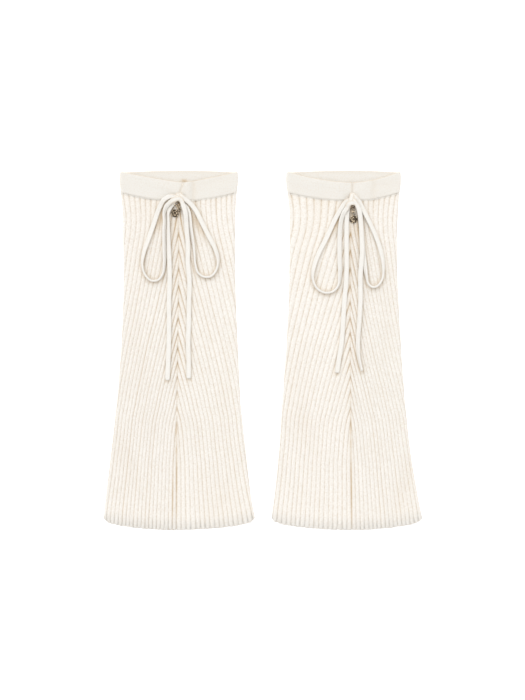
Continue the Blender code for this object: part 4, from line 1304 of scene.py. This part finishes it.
# %% Geometry Nodes helpers
def nodes_tree(name, inputs):
    """A geometry tree with these named inputs, as (name, socket kind), and its own input and output nodes."""
    tree = bpy.data.node_groups.new(name, "GeometryNodeTree")
    tree.interface.new_socket(name="Geometry", in_out="INPUT", socket_type="NodeSocketGeometry")
    for socket, kind in inputs:
        tree.interface.new_socket(name=socket, in_out="INPUT", socket_type=kind)
    tree.interface.new_socket(name="Geometry", in_out="OUTPUT", socket_type="NodeSocketGeometry")
    return tree, tree.nodes.new("NodeGroupInput"), tree.nodes.new("NodeGroupOutput")


def add_node(tree, kind, links=None, **settings):
    """A node with its settings, and links or plain values for its inputs by name."""
    node = tree.nodes.new(kind)
    for key, value in settings.items():
        setattr(node, key, value)
    for key, value in (links or {}).items():
        socket = node.inputs[key]
        if isinstance(value, bpy.types.NodeSocket):
            tree.links.new(value, socket)
        else:
            socket.default_value = value
    return node


def finish_tree(tree, given, result, geometry):
    real = add_node(tree, "GeometryNodeRealizeInstances", {"Geometry": geometry})
    smooth = add_node(tree, "GeometryNodeSetShadeSmooth", {"Geometry": real.outputs[0]})
    named = add_node(
        tree, "GeometryNodeSetMaterial", {"Geometry": smooth.outputs[0], "Material": given.outputs["Material"]}
    )
    tree.links.new(named.outputs[0], result.inputs[0])


def run_tree(name, points, outs, tree, values):
    """Runs a tree on a path of points with their outward directions, and keeps the result as a plain mesh."""
    mesh = bpy.data.meshes.new(name)
    mesh.from_pydata([tuple(p) for p in points], [(k, k + 1) for k in range(len(points) - 1)], [])
    attribute = mesh.attributes.new("out", "FLOAT_VECTOR", "POINT")
    attribute.data.foreach_set("vector", [part for out in outs for part in out])
    piece = bpy.data.objects.new(name, mesh)
    scene.collection.objects.link(piece)
    modifier = piece.modifiers.new("nodes", "NODES")
    modifier.node_group = tree
    identifiers = {item.name: item.identifier for item in tree.interface.items_tree if item.in_out == "INPUT"}
    for key, value in values.items():
        modifier[identifiers[key]] = value
    bpy.context.view_layer.update()
    evaluated = piece.evaluated_get(bpy.context.evaluated_depsgraph_get())
    made = bpy.data.meshes.new_from_object(evaluated)
    piece.modifiers.remove(modifier)
    piece.data = made
    bpy.data.meshes.remove(mesh)
    return piece


print("Geometry Nodes helpers ready")

# %% The tree for a row of stitches
STITCH_INPUTS = [
    ("Spacing", "NodeSocketFloat"),
    ("Half Length", "NodeSocketFloat"),
    ("Half Thick", "NodeSocketFloat"),
    ("Half Apart", "NodeSocketFloat"),
    ("Slant", "NodeSocketFloat"),
    ("Material", "NodeSocketMaterial"),
]


def stitch_row_tree():
    tree, given, result = nodes_tree("stitch row", STITCH_INPUTS)
    leg = add_node(tree, "GeometryNodeMeshUVSphere", {"Segments": 8, "Rings": 5, "Radius": 1.0})
    size = add_node(
        tree,
        "ShaderNodeCombineXYZ",
        {"X": given.outputs["Half Length"], "Y": given.outputs["Half Thick"], "Z": given.outputs["Half Thick"]},
    )
    sides = []
    for side in (1.0, -1.0):
        slant = add_node(tree, "ShaderNodeMath", {0: given.outputs["Slant"], 1: side}, operation="MULTIPLY")
        apart = add_node(tree, "ShaderNodeMath", {0: given.outputs["Half Apart"], 1: side}, operation="MULTIPLY")
        turn = add_node(tree, "ShaderNodeCombineXYZ", {"Z": slant.outputs[0]})
        shift = add_node(tree, "ShaderNodeCombineXYZ", {"Y": apart.outputs[0]})
        placed = add_node(
            tree,
            "GeometryNodeTransform",
            {
                "Geometry": leg.outputs["Mesh"],
                "Translation": shift.outputs[0],
                "Rotation": turn.outputs[0],
                "Scale": size.outputs[0],
            },
        )
        sides.append(placed.outputs[0])
    stitch = add_node(tree, "GeometryNodeJoinGeometry")
    for side in sides:
        tree.links.new(side, stitch.inputs[0])
    line = add_node(tree, "GeometryNodeMeshToCurve", {"Mesh": given.outputs["Geometry"]})
    places = add_node(
        tree,
        "GeometryNodeCurveToPoints",
        {"Curve": line.outputs[0], "Length": given.outputs["Spacing"]},
        mode="LENGTH",
    )
    out = add_node(tree, "GeometryNodeInputNamedAttribute", {"Name": "out"}, data_type="FLOAT_VECTOR")
    along = add_node(
        tree,
        "FunctionNodeAlignRotationToVector",
        {"Vector": places.outputs["Tangent"]},
        axis="X",
        pivot_axis="AUTO",
    )
    turned = add_node(
        tree,
        "FunctionNodeAlignRotationToVector",
        {"Rotation": along.outputs[0], "Vector": out.outputs["Attribute"]},
        axis="Z",
        pivot_axis="X",
    )
    row = add_node(
        tree,
        "GeometryNodeInstanceOnPoints",
        {"Points": places.outputs["Points"], "Instance": stitch.outputs[0], "Rotation": turned.outputs[0]},
    )
    finish_tree(tree, given, result, row.outputs[0])
    return tree


STITCH_ROW = stitch_row_tree()
print("stitch row inputs:", [name for name, kind in STITCH_INPUTS])

# %% Link the bands to the legs
LINK_STITCH = {"Spacing": 1.9 * MM, "Half Length": 1.25 * MM, "Half Thick": 0.4 * MM, "Half Apart": 0.34 * MM}
LINK_SLANT = 0.42
LINK_INSET = 0.6
LINK_BELOW = 0.25


def band_foot_path(warmer, side):
    """The valley between the band's foot and the leg, from the seam round to the middle of the back."""
    seam, half = seam_and_half(warmer, side, BAND_SIDE_FOOT)
    radius = BAND_HIGH / 2
    flat = half - radius
    spans = [(flat * k / 60, 0.0) for k in range(2, 61)]
    spans += [(flat, math.pi * k / 10) for k in range(1, 10)]
    spans += [(flat * (1 - k / 40), math.pi) for k in range(41)]
    points = []
    outs = []
    for x, angle in spans:
        out = radius - LINK_INSET
        reach = x + out * math.sin(angle)
        down = course_down(BAND_SIDE_FOOT + LINK_BELOW, min(reach / (flat + radius), 1.0))
        points.append(world(warmer, seam + side * reach, down, radius + out * math.cos(angle)))
        outs.append(Vector((side * math.sin(angle), 0.0, math.cos(angle))))
    return points, outs


stitch_pieces = {warmer.name: [] for warmer in WARMERS}
for warmer in WARMERS:
    for side, word in ((-1, "left"), (1, "right")):
        points, outs = band_foot_path(warmer, side)
        values = {**LINK_STITCH, "Slant": LINK_SLANT, "Material": SEWN_YARN}
        piece = run_tree(f"{warmer.name}_linking_{word}", points, outs, STITCH_ROW, values)
        place_piece(piece, "root", "plain_knit")
        stitch_pieces[warmer.name].append(piece)

# %% [markdown]
# The same tree sews each band's two ends together with smaller stitches. They lie in the valley between the ends
# and stop where the drawstring comes out.

# %% Sew the ends of the bands together
SEAM_STITCH = {"Spacing": 1.5 * MM, "Half Length": 0.95 * MM, "Half Thick": 0.34 * MM, "Half Apart": 0.26 * MM}
SEAM_SLANT = 0.5
SEAM_SINK = 0.55
SEAM_BEGIN = 0.4
SEAM_END = 25.0
SEAM_PLACES = 24


def band_seam_path(warmer):
    """The valley between the band's two ends, from the front's top edge down to the drawstring's opening."""
    start = BAND_SIDE_TOP + BAND_DIP + SEAM_BEGIN
    points = []
    for k in range(SEAM_PLACES + 1):
        down = start + (SEAM_END - start) * k / SEAM_PLACES
        seam = outline_at(warmer.outline, down)[1]
        points.append(world(warmer, seam, down, BAND_HIGH + band_lift(warmer, seam, down) - SEAM_SINK))
    return points, [Vector((0.0, 0.0, 1.0))] * len(points)


for warmer in WARMERS:
    values = {**SEAM_STITCH, "Slant": SEAM_SLANT, "Material": SEWN_YARN}
    piece = run_tree(f"{warmer.name}_band_seam", *band_seam_path(warmer), STITCH_ROW, values)
    place_piece(piece, "root", "plain_knit")
    stitch_pieces[warmer.name].append(piece)

# %% [markdown]
# ## The bows' knots
# A bow's knot is the cord itself: two strands come out of the band's opening side by side, and go to the right
# loop and to the left tail. The left loop's inner end wraps over the front. A rounded lump could stand for the
# knot, but the strands are what shows, so each is swept as cord again. It runs a few millimetres on inside the
# loop or tail that it continues, so that no step shows.

# %% Strands of the knots
# Strands of each knot: a cord and its end, and the strand's places (x, down, high) on the way to that end
KNOT_STRANDS = {
    "left": [
        ("loop_right", 0, [(0.4, 26.4, 4.4), (0.9, 28.2, 7.4), (2.2, 30.0, 9.4)]),
        ("loop_left", 0, [(0.8, 34.6, 8.8), (-1.4, 33.0, 10.6), (-4.2, 31.9, 11.5)]),
        ("loop_left", -1, [(4.2, 35.2, 10.0), (1.6, 34.2, 12.0), (-1.8, 34.2, 12.8), (-5.4, 35.4, 12.5)]),
        ("tail_right", 0, [(-0.6, 30.6, 9.4), (1.0, 33.0, 11.2), (2.5, 35.2, 11.7)]),
        ("tail_left", 0, [
            (-0.7, 26.6, 4.4), (-0.9, 28.6, 8.4), (-1.7, 31.4, 11.2), (-3.2, 34.6, 12.0), (-6.2, 37.5, 10.5),
        ]),
    ],
    "right": [
        ("loop_right", 0, [(2.0, 26.0, 4.4), (2.3, 28.2, 7.4), (3.8, 30.8, 9.2)]),
        ("loop_left", 0, [(2.2, 36.8, 9.6), (-0.6, 36.0, 11.0), (-3.4, 36.3, 11.0)]),
        ("loop_left", -1, [(6.2, 39.8, 10.0), (3.4, 38.9, 12.0), (0.2, 39.0, 12.8), (-2.8, 40.8, 12.4)]),
        ("tail_right", 0, [(0.4, 32.6, 9.4), (2.4, 35.4, 11.4), (4.8, 38.4, 11.9)]),
        ("tail_left", 0, [
            (1.5, 26.2, 4.4), (1.5, 28.8, 8.4), (0.8, 32.0, 11.0), (-0.4, 35.6, 12.1), (-1.9, 39.6, 10.9),
        ]),
    ],
}
STRAND_POINTS = 34


def strand_route(rows):
    """Evenly spread rows on the smooth curve through a strand's few rows, which start with x, down and high."""
    places = [0.0]
    for before, after in zip(rows, rows[1:]):
        places.append(places[-1] + math.dist(before[:3], after[:3]))
    columns = list(zip(*rows))
    spread = [places[-1] * k / (STRAND_POINTS - 1) for k in range(STRAND_POINTS)]
    return [[curve_value(places, column, at) for column in columns] for at in spread]


def join_pieces(name, pieces):
    """One object of several meshes, with their UV maps and attributes kept."""
    shape = bmesh.new()
    for piece in pieces:
        shape.from_mesh(piece.data)
        old = piece.data
        bpy.data.objects.remove(piece)
        bpy.data.meshes.remove(old)
    mesh = bpy.data.meshes.new(name)
    shape.to_mesh(mesh)
    shape.free()
    joined = bpy.data.objects.new(name, mesh)
    scene.collection.objects.link(joined)
    return joined


print("strands:", {name: len(rows) for name, rows in KNOT_STRANDS.items()})

# %% Make the knots
# How full a strand starts, and how far it runs on into its cord, in cord points, with how full it is there
STRAND_START = 0.62
JOIN_FULLS = [(0, 1.0), (3, 0.92), (7, 0.6)]
for warmer in WARMERS:
    strands = []
    for part, end, places in KNOT_STRANDS[warmer.name]:
        cord = cord_pieces[f"{warmer.name}_{part}"]
        facing = 1 if end == 0 else -1
        rows = [(*place, 0.0, 1.0 if k else STRAND_START) for k, place in enumerate(places)]
        for inward, full in JOIN_FULLS:
            k = inward if end == 0 else len(cord.centres) - 1 - inward
            at = cord.centres[k]
            rows.append((at.x / MM - warmer.middle, TOP - at.y / MM, at.z / MM, facing * cord.leans[k], full))
        route = strand_route(rows)
        middles = [world(warmer, *row[:3]) for row in route]
        turns, fulls = [row[3] for row in route], [row[4] for row in route]
        strands.append(sweep_cord(f"{warmer.name}_strand", middles, turns, fulls, KNOT_SIDE_SHADE))
    piece = join_pieces(f"{warmer.name}_knot_cords", strands)
    piece.data.materials.append(CORD_KNIT)
    place_piece(piece, "root", "cord_knit", f"{warmer.name}_knot")

# %% [markdown]
# ## Brass charms
# Each charm is a jump ring through the knot, an oval link and a small round disc with its own eye. Antique brass
# is dark where the patina has stayed and bright where cloth has rubbed it: on rims and beads. The wires are made
# bright on their upper side, which is a painted highlight as well as wear. The pieces carry an attribute for
# both, and the material reads it.

# %% Antique brass
PATINA_BROWN = (0.03, 0.02, 0.013, 1.0)
BRIGHT_GOLD = (0.98, 0.8, 0.58, 1.0)
PATINA_ROUGH = 0.5
BRIGHT_ROUGH = 0.26
SPOT_SCALE = 520.0
PIT_SCALE = 2200.0
PIT_DEPTH = 0.00006


def brass_material():
    material, tree, shader = new_material("antique brass", PATINA_ROUGH, 1.0)
    worn = attribute_value(tree, "worn")
    spots = remap(tree, noise_value(tree, SPOT_SCALE, 3.0), 0.42, 0.58)
    share = maths(tree, "MULTIPLY", worn, maths(tree, "ADD", maths(tree, "MULTIPLY", spots, 0.9), 0.1))
    # Dark patina, and bright gold for wear and, on the wires' upper sides, a painted highlight
    colour = mix_colour(tree, share, PATINA_BROWN, BRIGHT_GOLD)
    tree.links.new(colour, shader.inputs["Base Color"])
    tree.links.new(remap(tree, share, 0.0, 1.0, PATINA_ROUGH, BRIGHT_ROUGH), shader.inputs["Roughness"])
    tree.links.new(bump(tree, noise_value(tree, PIT_SCALE, 3.0), PIT_DEPTH), shader.inputs["Normal"])
    return material


BRASS = brass_material()
print("brass nodes:", len(BRASS.node_tree.nodes))

# %% Wire rings
RING_SIDES = 48
WIRE_SIDES = 14
WIRE_LEAST_BRIGHT = 0.15


def brass_piece(name, points, faces, worn):
    piece = new_piece(name, points, faces, BRASS, worn=worn)
    face_outward(piece)
    return piece


def wire_ring(centre, along, across, half_long, half_wide, wire_radius):
    """Points, faces and brightness of a closed ring of round wire, oval where it is longer than wide. In metres.
    """
    straight = half_long - half_wide
    normal = along.cross(across)
    points = []
    worn = []
    for k in range(RING_SIDES):
        angle = 2 * math.pi * (k + 0.5) / RING_SIDES
        outward = along * math.cos(angle) + across * math.sin(angle)
        shift = straight if math.cos(angle) > 0 else -straight
        middle = centre + (outward * half_wide + along * shift) * MM
        for j in range(WIRE_SIDES):
            turn = 2 * math.pi * j / WIRE_SIDES
            rim = outward * math.cos(turn) + normal * math.sin(turn)
            points.append(middle + rim * wire_radius * MM)
            # Brighter on the wire's upper side: a painted highlight as well as wear
            worn.append(WIRE_LEAST_BRIGHT + (1 - WIRE_LEAST_BRIGHT) * smooth_step(0.5 + rim.z * 0.7))
    return points, tube_faces(RING_SIDES, WIRE_SIDES, closed=True), worn


def heading(turn_degrees):
    """The direction on the surface that lies this far round from straight down towards +X."""
    turn = math.radians(turn_degrees)
    return Vector((math.sin(turn), -math.cos(turn), 0.0))


print("wire ring:", RING_SIDES, "by", WIRE_SIDES, "points")

# %% Make the jump rings and oval links
RING_RADIUS = 2.3
RING_WIRE = 0.45
RING_HIGH = 9.2
LINK_HALF_LONG = 3.4
LINK_HALF_WIDE = 2.3
LINK_WIRE = 0.5
# How far the two wires' middles reach past one another, and how far the link is turned about its length
LINK_HANG = 1.35
LINK_TILT = -58.0
link_ends = {}
for warmer in WARMERS:
    centre = world(warmer, warmer.charm.x, warmer.charm.down, RING_HIGH)
    down = heading(warmer.charm.link_turn)
    across = Vector((-down.y, down.x, 0.0))
    ring_shape = wire_ring(centre, down, across, RING_RADIUS, RING_RADIUS, RING_WIRE)
    ring = brass_piece(f"{warmer.name}_jump_ring", *ring_shape)
    place_piece(ring, "root", "antique_brass", f"{warmer.name}_charm_ring")
    link_centre = centre + down * (RING_RADIUS + LINK_HALF_LONG - LINK_HANG) * MM
    tilt = math.radians(LINK_TILT)
    link_across = across * math.cos(tilt) + Vector((0.0, 0.0, math.sin(tilt)))
    link_shape = wire_ring(link_centre, down, link_across, LINK_HALF_LONG, LINK_HALF_WIDE, LINK_WIRE)
    link = brass_piece(f"{warmer.name}_oval_link", *link_shape)
    place_piece(link, f"{warmer.name}_charm", "antique_brass", f"{warmer.name}_charm_link")
    link_ends[warmer.name] = link_centre + down * LINK_HALF_LONG * MM

# %% [markdown]
# The disc is turned from a profile: a raised rim, a groove, a stepped ring and a low dome in the middle, the
# same on both faces. The groove carries a circle of small beads, which repeat, so Geometry Nodes set them.

# %% Shape of a disc
DISC_RADIUS = 4.6
DISC_SIDES = 72
# How high the disc's middle is and how worn, and (share of the radius, height, wear) from there to its edge
DISC_MIDDLE = 0.57
MIDDLE_WORN = 0.9
DISC_PROFILE = [
    (0.06, 0.50, 0.2), (0.14, 0.48, 0.1), (0.20, 0.40, 0.0), (0.24, 0.34, 0.0),
    (0.30, 0.34, 0.0), (0.34, 0.46, 0.7), (0.39, 0.54, 1.0), (0.52, 0.54, 1.0),
    (0.56, 0.44, 0.5), (0.60, 0.34, 0.0), (0.75, 0.34, 0.0), (0.79, 0.46, 0.2),
    (0.83, 0.62, 0.9), (0.88, 0.65, 1.0), (0.94, 0.60, 0.7), (0.985, 0.42, 0.2),
    (1.0, 0.2, 0.0),
]


def disc_shape(centre, outward, sideways):
    normal = outward.cross(sideways)
    rows = DISC_PROFILE + [(share, -high, wear) for share, high, wear in reversed(DISC_PROFILE)]
    points = []
    worn = []
    for share, high, wear in rows:
        for k in range(DISC_SIDES):
            angle = 2 * math.pi * k / DISC_SIDES
            flat = outward * math.cos(angle) + sideways * math.sin(angle)
            points.append(centre + (flat * share * DISC_RADIUS + normal * high) * MM)
            worn.append(wear)
    for high in (DISC_MIDDLE, -DISC_MIDDLE):
        points.append(centre + normal * high * MM)
        worn.append(MIDDLE_WORN)
    return points, tube_faces(len(rows), DISC_SIDES), worn


print("disc profile:", len(DISC_PROFILE), "places")

# %% The tree for a circle of beads
BEAD_INPUTS = [("Radius", "NodeSocketFloat"), ("Spacing", "NodeSocketFloat"), ("Material", "NodeSocketMaterial")]


def bead_tree():
    tree, given, result = nodes_tree("bead circle", BEAD_INPUTS)
    bead = add_node(tree, "GeometryNodeMeshIcoSphere", {"Radius": given.outputs["Radius"], "Subdivisions": 2})
    line = add_node(tree, "GeometryNodeMeshToCurve", {"Mesh": given.outputs["Geometry"]})
    places = add_node(
        tree,
        "GeometryNodeCurveToPoints",
        {"Curve": line.outputs[0], "Length": given.outputs["Spacing"]},
        mode="LENGTH",
    )
    beads = add_node(
        tree,
        "GeometryNodeInstanceOnPoints",
        {"Points": places.outputs["Points"], "Instance": bead.outputs["Mesh"]},
    )
    finish_tree(tree, given, result, beads.outputs[0])
    return tree


BEAD_CIRCLE = bead_tree()
print("bead circle inputs:", [name for name, kind in BEAD_INPUTS])

# %% Make the discs
EYE_HALF_LONG = 2.2
EYE_HALF_WIDE = 1.7
EYE_WIRE = 0.45
EYE_HANG = 1.3
# How far the disc's edge sinks into its eye, and how high its middle lies
DISC_SINK = 0.1
DISC_HIGH = 7.6
BEAD_RADIUS = 0.2
BEAD_PLACE = 0.68
BEAD_HIGH = 0.36
BEAD_WORN = 0.9
BEADS = 22
# A hair over the even spacing, so that the circle's end doesn't take one bead more
SPACING_SPARE = 1.0001
for warmer in WARMERS:
    link_end = link_ends[warmer.name]
    eye_reach = 2 * EYE_HALF_LONG - EYE_HANG
    reach = eye_reach + DISC_RADIUS - DISC_SINK
    side = heading(warmer.charm.disc_turn)
    slope = math.asin((link_end.z / MM - DISC_HIGH) / reach)
    outward = side * math.cos(slope) - Vector((0.0, 0.0, math.sin(slope)))
    sideways = Vector((-side.y, side.x, 0.0))
    normal = outward.cross(sideways)
    disc_centre = link_end + outward * reach * MM
    eye_centre = link_end + outward * (eye_reach - EYE_HALF_LONG) * MM
    eye = wire_ring(eye_centre, outward, sideways, EYE_HALF_LONG, EYE_HALF_WIDE, EYE_WIRE)
    parts = [
        brass_piece(f"{warmer.name}_disc_turned", *disc_shape(disc_centre, outward, sideways)),
        brass_piece(f"{warmer.name}_disc_eye_wire", *eye),
    ]
    disc = join_pieces(f"{warmer.name}_round_disc", parts)
    disc.data.materials.append(BRASS)
    place_piece(disc, f"{warmer.name}_charm", "antique_brass", f"{warmer.name}_charm_disc")
    circle = [2 * math.pi * k / BEADS for k in range(BEADS + 1)]
    flats = [outward * math.cos(angle) + sideways * math.sin(angle) for angle in circle]
    rim = [disc_centre + (flat * BEAD_PLACE * DISC_RADIUS + normal * BEAD_HIGH) * MM for flat in flats]
    spacing = path_length(rim) / BEADS
    values = {"Radius": BEAD_RADIUS * MM, "Spacing": spacing * SPACING_SPARE, "Material": BRASS}
    beads = run_tree(f"{warmer.name}_disc_beads", rim, [normal] * len(rim), BEAD_CIRCLE, values)
    wear = beads.data.attributes.new("worn", "FLOAT", "POINT")
    wear.data.foreach_set("value", [BEAD_WORN] * len(beads.data.vertices))
    place_piece(beads, f"{warmer.name}_charm", "antique_brass")

# %% [markdown]
# ## Facts of the soft pieces
# The outline is looked up at each leg's hem, whose whole way round is its flat width, and at the band's foot. A
# leg's flat area all round follows the outline, because the tube flares.

# %% Flat area of the legs
AREA_STEPS = 60


def area_between(warmer, start, end):
    """The flat area, all round, between two distances from the top, in square metres."""
    step = (end - start) / AREA_STEPS
    total = 0.0
    for k in range(AREA_STEPS):
        left, _, right = outline_at(warmer.outline, start + step * (k + 0.5))
        total += 2 * (right - left) * step
    return total * MM * MM


for warmer in WARMERS:
    for part in warmer.cords:
        cord = cord_pieces[f"{warmer.name}_{part}"]
    left, _, right = outline_at(warmer.outline, HEM_SIDE)
    leg_area = area_between(warmer, LEG_START, HEM_SIDE + HEM_CORNER / 2)
    left, _, right = outline_at(warmer.outline, BAND_SIDE_FOOT)

# %% [markdown]
# ## Floor and light
# The pair lies on a plain white floor in soft light from all round, with one wide, even light from beyond the
# bands, so the loops and the lower edges throw faint soft shadows. An area lamp near the bands would leave the
# hems darker, and a sun with a wide angle doesn't. The floor glows a little, to stay as white as paper lit
# from behind.

# %% Floor
FLOOR_HALF = 40.0
FLOOR_BELOW = 0.0002
FLOOR_WHITE = (0.93, 0.93, 0.93, 1.0)
FLOOR_GLOW = 0.35
floor_material, _, floor_shader = new_material("white floor", 0.9)
floor_shader.inputs["Base Color"].default_value = FLOOR_WHITE
floor_shader.inputs["Specular IOR Level"].default_value = 0.0
floor_shader.inputs["Emission Color"].default_value = (1.0, 1.0, 1.0, 1.0)
floor_shader.inputs["Emission Strength"].default_value = FLOOR_GLOW
floor_mesh = bpy.data.meshes.new("floor")
corners = [(-1, -1), (1, -1), (1, 1), (-1, 1)]
places = [(x * FLOOR_HALF, y * FLOOR_HALF, -FLOOR_BELOW) for x, y in corners]
floor_mesh.from_pydata(places, [], [(0, 1, 2, 3)])
floor_mesh.materials.append(floor_material)
floor = bpy.data.objects.new("floor", floor_mesh)
scene.collection.objects.link(floor)
floor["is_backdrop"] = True
print("floor half width", FLOOR_HALF, "m")

# %% Light
WORLD_WHITE = (1.0, 0.995, 0.985, 1.0)
WORLD_STRENGTH = 0.84
SUN_STRENGTH = 1.12
SUN_WIDTH = 60.0
SUN_FROM = (-0.3, 0.8, 1.5)
world_light = bpy.data.worlds.new("studio")
world_light.use_nodes = True
background = world_light.node_tree.nodes["Background"]
background.inputs["Color"].default_value = WORLD_WHITE
background.inputs["Strength"].default_value = WORLD_STRENGTH
scene.world = world_light
lamp_data = bpy.data.lights.new("window", "SUN")
lamp_data.energy = SUN_STRENGTH
lamp_data.angle = math.radians(SUN_WIDTH)
lamp = bpy.data.objects.new("window", lamp_data)
lamp.location = SUN_FROM
lamp.rotation_euler = (-Vector(SUN_FROM)).to_track_quat("-Z", "Y").to_euler()
scene.collection.objects.link(lamp)
print("lamp from", SUN_FROM, "strength", SUN_STRENGTH)

# %% [markdown]
# ## Sizes
# The box of all that is seen is written down beside the CAD model's, so that the two can be compared.

# %% Sizes and finish
seen_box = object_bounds()
for name, box in (("CAD", cad_box), ("visual", seen_box)):
    print(name, [[round(v * 1000, 1) for v in corner] for corner in box])
